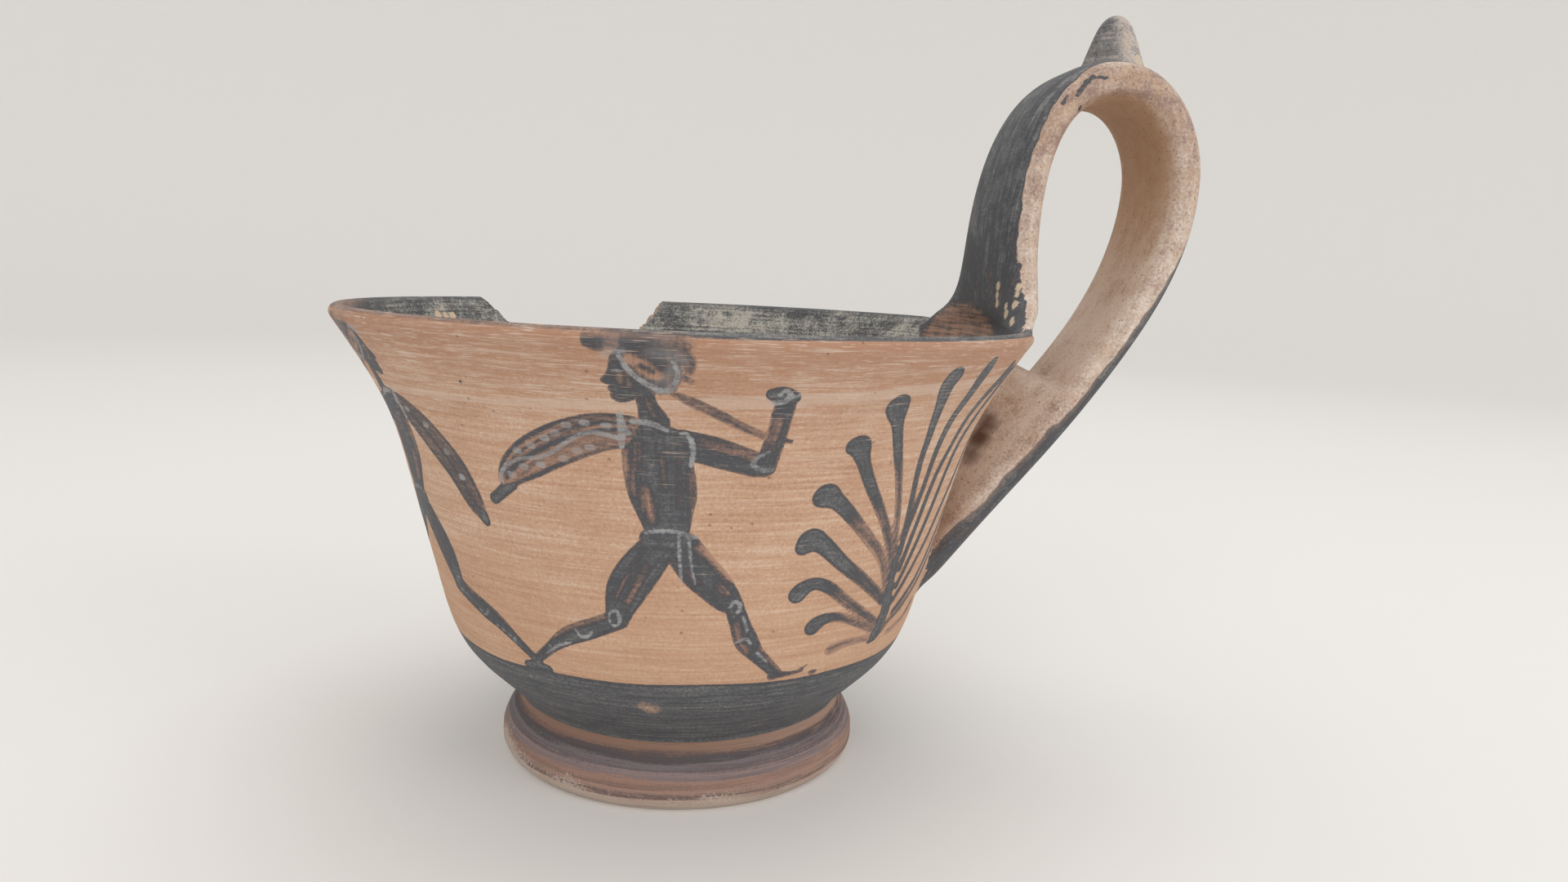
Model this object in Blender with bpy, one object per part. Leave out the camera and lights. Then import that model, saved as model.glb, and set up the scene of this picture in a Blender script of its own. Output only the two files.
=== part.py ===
"""Black-figure kyathos, a one-handled ladle cup of fired clay.

One fired piece: a thrown bowl with a flaring lip, a turned foot luted under it, and a high
strap handle that stands on the rim, loops over with a knob on top and comes down to the wall.
Metres, +Z up. The cup stands on its foot at z = 0, the handle lies along +X, and the origin is
the middle of the bounding box's underside.
"""

import math
from collections import namedtuple

import bmesh
import bpy
from mathutils import Vector
from mathutils.geometry import interpolate_bezier

MM = 0.001

# Bowl: radii are outside radii, heights are above the base
RIM_RADIUS = 57.5 * MM
RIM_HEIGHT = 75.6 * MM
LIP_THICKNESS = 2.4 * MM
WALL_THICKNESS = 2.8 * MM
FLARE_ANGLE = math.radians(33.0)
WAIST_RADIUS = 46.8 * MM
WAIST_BELOW_RIM = 23.4 * MM
TURN_RADIUS = 40.9 * MM
TURN_ABOVE_FOOT = 18.2 * MM
UNDERSIDE_ANGLE = math.radians(42.0)
FLOOR_ABOVE_RECESS = 4.2 * MM

# Foot: a short neck, a rounded disc and a worn lower edge around a hollow underside
FOOT_HEIGHT = 10.9 * MM
NECK_RADIUS = 28.4 * MM
NECK_HEIGHT = 2.4 * MM
FOOT_RADIUS = 31.1 * MM
FOOT_EDGE_HEIGHT = 2.5 * MM
BASE_RADIUS = 29.5 * MM
BASE_RING_WIDTH = 5.5 * MM
RECESS_HEIGHT = 4.8 * MM
RECESS_SLOPE_WIDTH = 3.0 * MM

# Handle: heights of its centre line are above the rim, reaches are from the bowl's axis
STRAP_WIDTH = 21.6 * MM
RISER_EXTRA_WIDTH = 2.5 * MM
STRAP_THICKNESS = 7.0 * MM
RISER_SETBACK = 2.5 * MM
RISER_LEAN = math.radians(5.0)
LOOP_TOP_HEIGHT = 42.4 * MM
LOOP_TOP_OUT = 13.4 * MM
LOOP_REACH_OUT = 26.5 * MM
LOOP_REACH_HEIGHT = 26.2 * MM
LOWER_END_BELOW_RIM = 46.4 * MM
LOWER_END_ANGLE = math.radians(33.0)
ROOT_DEPTH = 6.0 * MM
ROOT_FLARE = 12.5 * MM
ROOT_FLARE_HEIGHT = 5.5 * MM
WEB_TOP_BELOW_RIM = 11.2 * MM
WEB_BLEND = 3.0 * MM
KNOB_RADIUS = 5.6 * MM
KNOB_HEIGHT = 8.6 * MM
KNOB_SINK = 2.0 * MM

# Break in the rim: degrees round from the handle and depth below the rim
BREAK_EDGE = ((91.5, 0.0), (93.8, 2.9), (95.9, 4.7), (97.4, 6.5), (102.0, 8.8), (108.0, 10.0),
              (114.0, 10.9), (120.0, 9.6), (126.0, 7.4), (130.2, 4.9), (132.2, 2.6), (134.4, 0.0))
BREAK_ROUGHNESS = 0.25 * MM
BREAK_SLANT = 0.5 * MM

# Section of the strap: 2 is an ellipse and more is squarer, and the web's curve up to the wall
STRAP_FULLNESS = 3.4
ROOT_FULLNESS = 2.2
WEB_HOLLOW = 1.6
BURIED_THICKNESS_SHARE = 0.3
TAIL_EXTRA_WIDTH_SHARE = 0.12

# How strongly each curve leaves its ends, as shares of the stretch that it spans
LIP_PULL = 0.5
WAIST_PULL = 0.36
TURN_PULL = 0.58
FLOOR_PULL = 0.62
FLOOR_FLAT_SHARE = 0.55
ROOT_PULL = 0.4
RISER_ROOT_PULL = 0.3
RISER_PULL = 0.64
TOP_INNER_PULL = 0.9
TOP_OUTER_PULL = 0.66
REACH_UPPER_PULL = 0.43
REACH_LOWER_PULL = 0.365
LOWER_END_PULL = 0.39

# How finely round forms are cut into faces
AROUND = 60
LIP_STEPS = 5
FLARE_STEPS = 9
LOWER_STEPS = 8
FLOOR_STEPS = 8
STRAP_AROUND = 20
ROOT_STEPS = 4
RISER_STEPS = 15
LOOP_STEPS = 13
FALL_STEPS = 18
KNOB_AROUND = 24
BREAK_STEPS = 30

# The bounding box runs from the rim to the loop's outer face, and the origin is its middle
LOOP_REACH = RIM_RADIUS + LOOP_REACH_OUT
AXIS_X = (RIM_RADIUS - LOOP_REACH - STRAP_THICKNESS / 2) / 2

Section = namedtuple("Section", "hole_side half_width half_thickness hug web fullness")


def bezier(start, start_handle, end_handle, end, steps):
    """Points along one cubic curve in the plane of radius and height."""
    corners = [Vector((point[0], point[1], 0.0)) for point in (start, start_handle, end_handle, end)]
    return [Vector((point.x, point.y)) for point in interpolate_bezier(*corners, steps)]


def heading(angle_from_down):
    """Unit direction that runs down and inwards by the given angle."""
    return Vector((-math.sin(angle_from_down), -math.cos(angle_from_down)))


def rise_from(low, high, value):
    """0 at low, 1 at high, with soft ends."""
    share = min(1.0, max(0.0, (value - low) / (high - low)))
    return share * share * (3 - 2 * share)


def outer_wall():
    """The bowl's outside from under the lip to the crease on the foot."""
    lip_round = LIP_THICKNESS / 2
    flare = heading(FLARE_ANGLE)
    lip_centre = Vector((RIM_RADIUS - lip_round, RIM_HEIGHT - lip_round))
    lip = lip_centre + lip_round * Vector((-flare.y, flare.x))
    waist = Vector((WAIST_RADIUS, RIM_HEIGHT - WAIST_BELOW_RIM))
    turn = Vector((TURN_RADIUS, FOOT_HEIGHT + TURN_ABOVE_FOOT))
    crease = Vector((NECK_RADIUS, FOOT_HEIGHT))
    taper = (turn - waist).normalized()
    lip_pull = flare * LIP_PULL * WAIST_BELOW_RIM
    waist_pull = taper * WAIST_PULL * WAIST_BELOW_RIM
    turn_pull = taper * TURN_PULL * TURN_ABOVE_FOOT
    crease_pull = heading(UNDERSIDE_ANGLE) * TURN_PULL * TURN_ABOVE_FOOT
    upper = bezier(lip, lip + lip_pull, waist - waist_pull, waist, FLARE_STEPS)
    cone = [waist.lerp(turn, share) for share in (0.33, 0.67)]
    lower = bezier(turn, turn + turn_pull, crease - crease_pull, crease, LOWER_STEPS)
    return upper + cone + lower


def outside_radius(wall, height):
    """The bowl's outside radius at a height, read along the wall's points."""
    for upper, lower in zip(wall, wall[1:]):
        if lower.y <= height <= upper.y:
            return lower.x + (upper.x - lower.x) * (height - lower.y) / (upper.y - lower.y)
    return wall[0].x if height > wall[0].y else wall[-1].x


def inner_wall(wall):
    """The bowl's inside from under the lip to the middle of its floor."""
    turn_index = len(wall) - LOWER_STEPS
    inside = []
    for index in range(turn_index + 1):
        before = wall[max(index - 1, 0)]
        after = wall[min(index + 1, len(wall) - 1)]
        along = (after - before).normalized() if index else heading(FLARE_ANGLE)
        share = min(1.0, index / FLARE_STEPS)
        thickness = LIP_THICKNESS + (WALL_THICKNESS - LIP_THICKNESS) * share
        inside.append(wall[index] - thickness * Vector((-along.y, along.x)))
    start = inside[-1]
    along = (start - inside[-2]).normalized()
    floor = RECESS_HEIGHT + FLOOR_ABOVE_RECESS
    drop = start.y - floor
    flat = (FLOOR_FLAT_SHARE * start.x, floor)
    bottom = bezier(start, start + along * FLOOR_PULL * drop, flat, (0.0, floor), FLOOR_STEPS)
    return inside + bottom[1:]


def lip_cap():
    """The rounded edge of the lip, from inside to outside."""
    lip_round = LIP_THICKNESS / 2
    centre = Vector((RIM_RADIUS - lip_round, RIM_HEIGHT - lip_round))
    angles = [math.pi - FLARE_ANGLE - math.pi * step / LIP_STEPS for step in range(1, LIP_STEPS)]
    return [centre + lip_round * Vector((math.cos(angle), math.sin(angle))) for angle in angles]


def foot_outline():
    """The foot from under the crease to the middle of its hollow underside."""
    neck_bottom = Vector((NECK_RADIUS, FOOT_HEIGHT - NECK_HEIGHT))
    neck_hollow = Vector((NECK_RADIUS - 0.14 * NECK_HEIGHT, FOOT_HEIGHT - 0.55 * NECK_HEIGHT))
    edge = Vector((FOOT_RADIUS, FOOT_EDGE_HEIGHT))
    rise = neck_bottom.y - edge.y
    disc = bezier(neck_bottom, neck_bottom + Vector((0.28, -0.35)) * rise,
                  edge + Vector((0.0, 0.35)) * rise, edge, 6)
    worn_in = BASE_RADIUS + 0.3 * (FOOT_RADIUS - BASE_RADIUS)
    worn = bezier(edge, edge - Vector((0.0, 0.5)) * FOOT_EDGE_HEIGHT,
                  (worn_in, 0.15 * FOOT_EDGE_HEIGHT), (BASE_RADIUS, 0.0), 4)
    ring = BASE_RADIUS - BASE_RING_WIDTH
    slope = ring - RECESS_SLOPE_WIDTH
    recess = bezier((ring, 0.0), (ring - 0.15 * RECESS_SLOPE_WIDTH, 0.75 * RECESS_HEIGHT),
                    (slope, 0.8 * RECESS_HEIGHT), (slope - RECESS_SLOPE_WIDTH, 0.9 * RECESS_HEIGHT), 5)
    middle = [Vector((0.4 * slope, RECESS_HEIGHT)), Vector((0.0, RECESS_HEIGHT))]
    return [neck_hollow, neck_bottom] + disc[1:] + worn[1:] + recess + middle


def turned(name, outline, around=AROUND):
    """A closed solid of revolution; the outline runs from the axis round to the axis again."""
    form = bmesh.new()
    angles = [2 * math.pi * step / around for step in range(around)]
    rings = []
    for point in outline:
        if point.x < 1e-7:
            rings.append([form.verts.new((0.0, 0.0, point.y))])
            continue
        ring = [(point.x * math.cos(angle), point.x * math.sin(angle), point.y) for angle in angles]
        rings.append([form.verts.new(place) for place in ring])
    for upper, lower in zip(rings, rings[1:]):
        for step in range(around):
            after = (step + 1) % around
            corners = [upper[step % len(upper)], upper[after % len(upper)],
                       lower[after % len(lower)], lower[step % len(lower)]]
            form.faces.new(list(dict.fromkeys(corners)))
    return finished(name, form)


def lofted(name, rings):
    """A closed solid through rings of places, with a flat cap on each end."""
    form = bmesh.new()
    loops = [[form.verts.new(place) for place in ring] for ring in rings]
    for before, after in zip(loops, loops[1:]):
        for side in range(len(before)):
            following = (side + 1) % len(before)
            form.faces.new((before[side], before[following], after[following], after[side]))
    form.faces.new(loops[0])
    form.faces.new(loops[-1])
    return finished(name, form)


def finished(name, form):
    """Turns a bmesh into an object that stands on the bowl's axis."""
    bmesh.ops.recalc_face_normals(form, faces=form.faces)
    mesh = bpy.data.meshes.new(name)
    form.to_mesh(mesh)
    form.free()
    thing = bpy.data.objects.new(name, mesh)
    thing.location.x = AXIS_X
    bpy.context.scene.collection.objects.link(thing)
    return thing


def strap_path():
    """The handle's centre line as points and headings in the plane of reach and height."""
    root_setback = ROOT_DEPTH * math.tan(FLARE_ANGLE) + LIP_THICKNESS / 2
    root = Vector((RIM_RADIUS - root_setback, RIM_HEIGHT - ROOT_DEPTH))
    riser = Vector((RIM_RADIUS - RISER_SETBACK, RIM_HEIGHT + 0.2 * ROOT_FLARE_HEIGHT))
    top = Vector((RIM_RADIUS + LOOP_TOP_OUT, RIM_HEIGHT + LOOP_TOP_HEIGHT))
    reach = Vector((LOOP_REACH, RIM_HEIGHT + LOOP_REACH_HEIGHT))
    lower_height = RIM_HEIGHT - LOWER_END_BELOW_RIM
    lower = Vector((outside_radius(outer_wall(), lower_height) - WALL_THICKNESS / 2, lower_height))
    up = Vector((-math.sin(RISER_LEAN), math.cos(RISER_LEAN)))
    out = Vector((1.0, 0.0))
    down = Vector((0.0, -1.0))
    away = Vector((math.sin(LOWER_END_ANGLE), math.cos(LOWER_END_ANGLE)))
    climb = top.y - riser.y
    drop = top.y - reach.y
    fall = reach.y - lower.y
    pieces = (
        (root, root - heading(FLARE_ANGLE) * ROOT_PULL * ROOT_DEPTH,
         riser - up * RISER_ROOT_PULL * ROOT_DEPTH, riser, ROOT_STEPS),
        (riser, riser + up * RISER_PULL * climb,
         top - out * TOP_INNER_PULL * LOOP_TOP_OUT, top, RISER_STEPS),
        (top, top + out * TOP_OUTER_PULL * (reach.x - top.x),
         reach - down * REACH_UPPER_PULL * drop, reach, LOOP_STEPS),
        (reach, reach + down * REACH_LOWER_PULL * fall,
         lower + away * LOWER_END_PULL * fall, lower, FALL_STEPS),
    )
    points = []
    for piece in pieces:
        points += bezier(*piece)[1 if points else 0:]
    headings = []
    for index, point in enumerate(points):
        before = points[max(index - 1, 0)]
        after = points[min(index + 1, len(points) - 1)]
        headings.append((after - before).normalized())
    return points, headings


def gap_to_wall(wall, point, side):
    """Distance from a point on the strap to the middle of the bowl's wall."""
    step = 0.25 * MM
    distance = 0.0
    probe = point.copy()
    while probe.x > outside_radius(wall, probe.y) - WALL_THICKNESS / 2 and distance < LOOP_REACH:
        distance += step
        probe = point + side * distance
    return distance


def rising_section(point, along):
    """The strap's section from its root in the rim to the top of the loop."""
    above_rim = point.y - RIM_HEIGHT
    root = math.exp(-max(above_rim, 0.0) / ROOT_FLARE_HEIGHT)
    widening = 1 - rise_from(0.0, LOOP_TOP_HEIGHT, above_rim)
    buried = rise_from(-ROOT_DEPTH, 0.6 * ROOT_FLARE_HEIGHT, above_rim)
    thickness_share = BURIED_THICKNESS_SHARE + (1 - BURIED_THICKNESS_SHARE) * buried
    return Section(
        hole_side=Vector((along.y, -along.x)),
        half_width=(STRAP_WIDTH + RISER_EXTRA_WIDTH * widening) / 2 + ROOT_FLARE * root,
        half_thickness=STRAP_THICKNESS / 2 * thickness_share,
        hug=root,
        web=0.0,
        fullness=STRAP_FULLNESS + (ROOT_FULLNESS - STRAP_FULLNESS) * root,
    )


def falling_section(wall, point, along):
    """The strap's section from the top of the loop to its thin end on the wall."""
    above_end = point.y - (RIM_HEIGHT - LOWER_END_BELOW_RIM)
    tail = 1 - rise_from(0.0, 3 * STRAP_THICKNESS, above_end)
    thinning = rise_from(-1.32 * STRAP_THICKNESS, 0.88 * STRAP_THICKNESS, above_end)
    half_thickness = STRAP_THICKNESS / 2 * thinning
    hole_side = Vector((along.y, -along.x))
    below_web_top = RIM_HEIGHT - WEB_TOP_BELOW_RIM - point.y
    web = 0.0
    if below_web_top > 0:
        gap = gap_to_wall(wall, point, hole_side)
        web = max(0.0, gap - half_thickness) * rise_from(0.0, WEB_BLEND, below_web_top)
    return Section(
        hole_side=hole_side,
        half_width=STRAP_WIDTH / 2 + TAIL_EXTRA_WIDTH_SHARE * STRAP_WIDTH * tail,
        half_thickness=half_thickness,
        hug=tail,
        web=web,
        fullness=STRAP_FULLNESS + (ROOT_FULLNESS - STRAP_FULLNESS) * tail,
    )


def section_ring(point, section):
    """The places around one section, which bends round the bowl where it hugs it."""
    ring = []
    for step in range(STRAP_AROUND):
        angle = 2 * math.pi * step / STRAP_AROUND
        power = 2 / section.fullness
        across = math.copysign(abs(math.cos(angle)) ** power, math.cos(angle))
        through = math.copysign(abs(math.sin(angle)) ** power, math.sin(angle))
        depth = through * section.half_thickness
        if through > 0:
            depth += section.web * (1 - abs(across)) ** WEB_HOLLOW
        side = across * section.half_width
        bend = max(point.x, side * 1.05)
        sag = section.hug * (bend - math.sqrt(bend * bend - side * side))
        place = point + section.hole_side * depth
        ring.append((place.x - sag, side, place.y))
    return ring


def strap():
    """The handle: a flat band with rounded edges, flared onto the rim and webbed to the wall."""
    wall = outer_wall()
    points, headings = strap_path()
    top_index = max(range(len(points)), key=lambda index: points[index].y)
    rings = []
    for index, (point, along) in enumerate(zip(points, headings)):
        if index < top_index:
            section = rising_section(point, along)
        else:
            section = falling_section(wall, point, along)
        rings.append(section_ring(point, section))
    return lofted("strap", rings)


def knob():
    """The small pointed knob on top of the loop."""
    base = RIM_HEIGHT + LOOP_TOP_HEIGHT + STRAP_THICKNESS / 2
    outline = [Vector((0.0, base - KNOB_SINK)), Vector((0.8 * KNOB_RADIUS, base - KNOB_SINK)),
               Vector((KNOB_RADIUS, base - 0.1 * KNOB_SINK))]
    outline += bezier((KNOB_RADIUS, base), (0.72 * KNOB_RADIUS, base + 0.25 * KNOB_HEIGHT),
                      (0.62 * KNOB_RADIUS, base + 1.02 * KNOB_HEIGHT), (0.0, base + KNOB_HEIGHT), 8)
    piece = turned("knob", outline, KNOB_AROUND)
    piece.location.x += RIM_RADIUS + LOOP_TOP_OUT + 0.35 * KNOB_RADIUS
    return piece


def break_depth(degrees):
    """Depth of the broken edge below the rim, with a fine ragged line added."""
    for (start, high), (end, low) in zip(BREAK_EDGE, BREAK_EDGE[1:]):
        if start <= degrees <= end:
            depth = high + (low - high) * (degrees - start) / (end - start)
            ragged = math.sin(degrees * 2.9) + 0.6 * math.sin(degrees * 6.7 + 1.3)
            return depth * MM + BREAK_ROUGHNESS * ragged * min(1.0, depth / 3)
    return 0.0


def break_cutter():
    """The lost piece of the rim, as a curved block that runs past both faces of the wall."""
    top = RIM_HEIGHT + LIP_THICKNESS
    inner = RIM_RADIUS - 0.35 * WAIST_BELOW_RIM - 3 * WALL_THICKNESS
    outer = RIM_RADIUS + WALL_THICKNESS
    first = BREAK_EDGE[0][0]
    last = BREAK_EDGE[-1][0]
    rings = []
    for step in range(BREAK_STEPS + 1):
        degrees = first + (last - first) * step / BREAK_STEPS
        edge = RIM_HEIGHT - break_depth(degrees)
        slant = BREAK_SLANT * math.sin(degrees * 0.8)
        angle = math.radians(degrees)
        corners = ((inner, edge + slant), (outer, edge - slant), (outer, top), (inner, top))
        rings.append([(radius * math.cos(angle), radius * math.sin(angle), height)
                      for radius, height in corners])
    return lofted("break", rings)


def inside_guard():
    """The bowl's inside grown into its wall, which keeps the strap's lower end out of the cup."""
    guard_top = RIM_HEIGHT - 0.8 * WAIST_BELOW_RIM
    outline = []
    for point in inner_wall(outer_wall()):
        if point.y < guard_top:
            outline.append(Vector((max(point.x + 0.35 * WALL_THICKNESS, 0.0), point.y)))
    outline[-1].x = 0.0
    outline = [Vector((0.0, outline[0].y))] + outline
    return turned("inside guard", outline)


def combine(target, tool, operation):
    """Adds a Boolean modifier and keeps the tool as a hidden guide."""
    step = target.modifiers.new(tool.name, "BOOLEAN")
    step.operation = operation
    step.solver = "EXACT"
    step.object = tool
    tool.hide_render = True
    tool.display_type = "WIRE"


def clay_material():
    """Reserved clay, the colour that most of the cup shows."""
    material = bpy.data.materials.new("fired clay")
    material.use_nodes = True
    shader = material.node_tree.nodes["Principled BSDF"]
    shader.inputs["Base Color"].default_value = (0.52, 0.29, 0.17, 1.0)
    shader.inputs["Roughness"].default_value = 0.75
    shader.inputs["Metallic"].default_value = 0.0
    return material


def build():
    """Puts the cup together and gives it its clay."""
    for thing in list(bpy.data.objects):
        bpy.data.objects.remove(thing, do_unlink=True)
    wall = outer_wall()
    outline = list(reversed(inner_wall(wall))) + lip_cap() + wall + foot_outline()
    cup = turned("kyathos", outline)
    combine(cup, break_cutter(), "DIFFERENCE")
    band = strap()
    combine(band, inside_guard(), "DIFFERENCE")
    combine(cup, band, "UNION")
    combine(cup, knob(), "UNION")
    cup.data.materials.append(clay_material())
    cup.data.shade_smooth()
    cup.data.set_sharp_from_angle(angle=math.radians(35.0))


build()
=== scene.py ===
"""Black-figure kyathos: the looks of a one-handled ladle cup of fired, slip-painted clay.

Sizes are in millimetres and turn into metres where a mesh is made. Places round the cup are degrees from
the handle, anticlockwise seen from above, heights are above the table, and radii are from the bowl's axis.
"""

import math
from types import SimpleNamespace

import bmesh
import bpy
import numpy as np
from mathutils import Euler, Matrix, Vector
from mathutils.bvhtree import BVHTree


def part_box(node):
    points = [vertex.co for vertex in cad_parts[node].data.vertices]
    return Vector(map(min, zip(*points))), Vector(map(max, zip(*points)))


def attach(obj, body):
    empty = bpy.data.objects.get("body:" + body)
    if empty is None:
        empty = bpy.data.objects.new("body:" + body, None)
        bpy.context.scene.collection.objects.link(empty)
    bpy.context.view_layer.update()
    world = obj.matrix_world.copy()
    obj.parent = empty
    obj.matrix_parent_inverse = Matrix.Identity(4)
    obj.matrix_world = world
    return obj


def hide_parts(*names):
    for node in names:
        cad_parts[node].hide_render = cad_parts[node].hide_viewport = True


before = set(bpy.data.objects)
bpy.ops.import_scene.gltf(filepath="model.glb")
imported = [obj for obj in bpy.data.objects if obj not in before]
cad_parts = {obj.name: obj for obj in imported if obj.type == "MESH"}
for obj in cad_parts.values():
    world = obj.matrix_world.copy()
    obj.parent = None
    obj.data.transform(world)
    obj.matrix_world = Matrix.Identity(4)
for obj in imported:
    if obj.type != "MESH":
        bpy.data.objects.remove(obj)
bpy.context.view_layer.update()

# Camera: the photograph's view, a little above the rim and turned so that the handle stands at the right.
# Its lens is as wide as the picture's perspective asks, 24.4 mm on a 36 mm wide frame.
VIEW_PLACE = (-0.03108, -0.18378, 0.08294)
VIEW_TURN = (81.054, -2.5595, -9.8012)
LENS = 24.444

view = bpy.data.cameras.new("view")
view.lens = LENS
view.sensor_width = 36.0
view.clip_start = 0.001
camera = bpy.data.objects.new("camera", view)
camera.location = VIEW_PLACE
camera.rotation_euler = Euler([math.radians(turn) for turn in VIEW_TURN])
bpy.context.scene.collection.objects.link(camera)
bpy.context.scene.camera = camera

# Bowl and foot: wheel-thrown clay, turned on the wheel again when leather-hard, with the foot luted on.
# The lip is rounded, the wall is a thin flaring shell, and the foot is a low disc that is hollow below.
MM = 0.001
cad_low, cad_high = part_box("kyathos")
RIM_RADIUS = (cad_high[1] - cad_low[1]) / 2 / MM
AXIS_X = cad_low[0] / MM + RIM_RADIUS
RIM_HEIGHT = 75.6
LIP_THICKNESS = 2.4
WALL_THICKNESS = 2.8
FLARE_ANGLE = math.radians(33.0)
WAIST_RADIUS = 46.8
WAIST_BELOW_RIM = 23.4
TURN_RADIUS = 40.9
TURN_ABOVE_FOOT = 18.2
UNDERSIDE_ANGLE = math.radians(42.0)
FOOT_HEIGHT = 10.9
NECK_RADIUS = 28.4
NECK_HEIGHT = 2.4
FOOT_RADIUS = 31.1
FOOT_EDGE_HEIGHT = 2.5
BASE_RADIUS = 29.5
BASE_RING_WIDTH = 5.5
RECESS_HEIGHT = 4.8
RECESS_SLOPE_WIDTH = 3.0
FLOOR_HEIGHT = 9.0
EDGE_GROOVE_WIDTH = 0.35
EDGE_GROOVE_DEPTH = 0.22
LIP_PULL = 0.5
WAIST_PULL = 0.36
TURN_PULL = 0.58
FLOOR_PULL = 0.62
FLOOR_FLAT_SHARE = 0.55

# Spacing of the mesh's rows on each part of the section. Its columns crowd towards the side that is seen.
LINE_SPACING = 0.25
PAINTED_SPACING = 0.55
PLAIN_SPACING = 1.2
PLAIN_BELOW = 17.0
LIP_SPACING = 0.4
FOOT_SPACING = 0.7
UNDERSIDE_SPACING = 2.4
INSIDE_SPACING = 4.4
FINE_INSIDE_DEPTH = 12.0
COLUMNS = 336
CROWDED_SIDE = -98.0
CROWDING = 0.38
RIDGE_PITCH = 1.7
RIDGE_DEPTH = 0.11
RIDGE_SEED = 3.0


def curve(start, start_pull, end_pull, end, steps=160):
    """Points along one cubic curve between two ends, each with its pull point."""
    corners = np.array([start, start_pull, end_pull, end], float)
    share = np.linspace(0.0, 1.0, steps)[:, None]
    rest = 1.0 - share
    return (rest ** 3 * corners[0] + 3 * rest ** 2 * share * corners[1]
            + 3 * rest * share ** 2 * corners[2] + share ** 3 * corners[3])


def distance_along(points):
    """Distance from the first point along a line of points."""
    steps = np.sqrt((np.diff(points, axis=0) ** 2).sum(axis=1))
    return np.concatenate([[0.0], np.cumsum(steps)])


def evenly(points, spacing):
    """The same line with its points at an even spacing."""
    points = np.asarray(points, float)
    along = distance_along(points)
    wanted = np.linspace(0.0, along[-1], max(2, round(along[-1] / spacing) + 1))
    return np.column_stack([np.interp(wanted, along, column) for column in points.T])


def heading(angle_from_down):
    """Unit direction that runs down and inwards by the given angle."""
    return np.array((-math.sin(angle_from_down), -math.cos(angle_from_down)))


def outer_wall():
    """The bowl's outside, from under the lip down to the crease on the foot."""
    flare = heading(FLARE_ANGLE)
    lip_centre = np.array((RIM_RADIUS - LIP_THICKNESS / 2, RIM_HEIGHT - LIP_THICKNESS / 2))
    lip = lip_centre + LIP_THICKNESS / 2 * np.array((-flare[1], flare[0]))
    waist = np.array((WAIST_RADIUS, RIM_HEIGHT - WAIST_BELOW_RIM))
    turn = np.array((TURN_RADIUS, FOOT_HEIGHT + TURN_ABOVE_FOOT))
    crease = np.array((NECK_RADIUS, FOOT_HEIGHT))
    taper = (turn - waist) / np.linalg.norm(turn - waist)
    upper = curve(lip, lip + flare * LIP_PULL * WAIST_BELOW_RIM,
                  waist - taper * WAIST_PULL * WAIST_BELOW_RIM, waist)
    under = heading(UNDERSIDE_ANGLE)
    lower = curve(turn, turn + taper * TURN_PULL * TURN_ABOVE_FOOT,
                  crease - under * TURN_PULL * TURN_ABOVE_FOOT, crease)
    return np.vstack([upper, lower])


def inner_wall(wall):
    """The bowl's inside, from under the lip to the middle of its floor."""
    wall = evenly(wall, LINE_SPACING)
    wall = wall[wall[:, 1] >= FOOT_HEIGHT + TURN_ABOVE_FOOT]
    slope = np.gradient(wall, axis=0)
    slope /= np.linalg.norm(slope, axis=1)[:, None]
    share = np.clip((RIM_HEIGHT - wall[:, 1]) / WAIST_BELOW_RIM, 0.0, 1.0)[:, None]
    thickness = LIP_THICKNESS + (WALL_THICKNESS - LIP_THICKNESS) * share
    inside = wall - thickness * np.column_stack([-slope[:, 1], slope[:, 0]])
    start = inside[-1]
    along = (inside[-1] - inside[-2]) / np.linalg.norm(inside[-1] - inside[-2])
    drop = start[1] - FLOOR_HEIGHT
    bottom = curve(start, start + along * FLOOR_PULL * drop,
                   (FLOOR_FLAT_SHARE * start[0], FLOOR_HEIGHT), (0.0, FLOOR_HEIGHT))
    return np.vstack([inside, bottom])


def foot_side():
    """The foot's outside, from the ring that it stands on up to the crease under the bowl."""
    neck_bottom = np.array((NECK_RADIUS, FOOT_HEIGHT - NECK_HEIGHT))
    neck_hollow = (NECK_RADIUS - 0.14 * NECK_HEIGHT, FOOT_HEIGHT - 0.55 * NECK_HEIGHT)
    edge = np.array((FOOT_RADIUS, FOOT_EDGE_HEIGHT))
    rise = neck_bottom[1] - edge[1]
    worn_in = BASE_RADIUS + 0.3 * (FOOT_RADIUS - BASE_RADIUS)
    worn = curve((BASE_RADIUS, 0.0), (worn_in, 0.15 * FOOT_EDGE_HEIGHT),
                 edge - (0.0, 0.5 * FOOT_EDGE_HEIGHT), edge)
    disc = curve(edge, edge + (0.0, 0.35 * rise), neck_bottom + (0.28 * rise, -0.35 * rise), neck_bottom)
    neck = [neck_bottom, neck_hollow, (NECK_RADIUS, FOOT_HEIGHT)]
    side = np.vstack([evenly(worn, FOOT_SPACING), evenly(disc, FOOT_SPACING)[1:]])
    above_groove = side[:, 1] - FOOT_EDGE_HEIGHT - EDGE_GROOVE_WIDTH
    side[:, 0] -= EDGE_GROOVE_DEPTH * np.exp(-(above_groove / EDGE_GROOVE_WIDTH) ** 2)
    return np.vstack([side, evenly(neck, FOOT_SPACING)[1:]])


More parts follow.
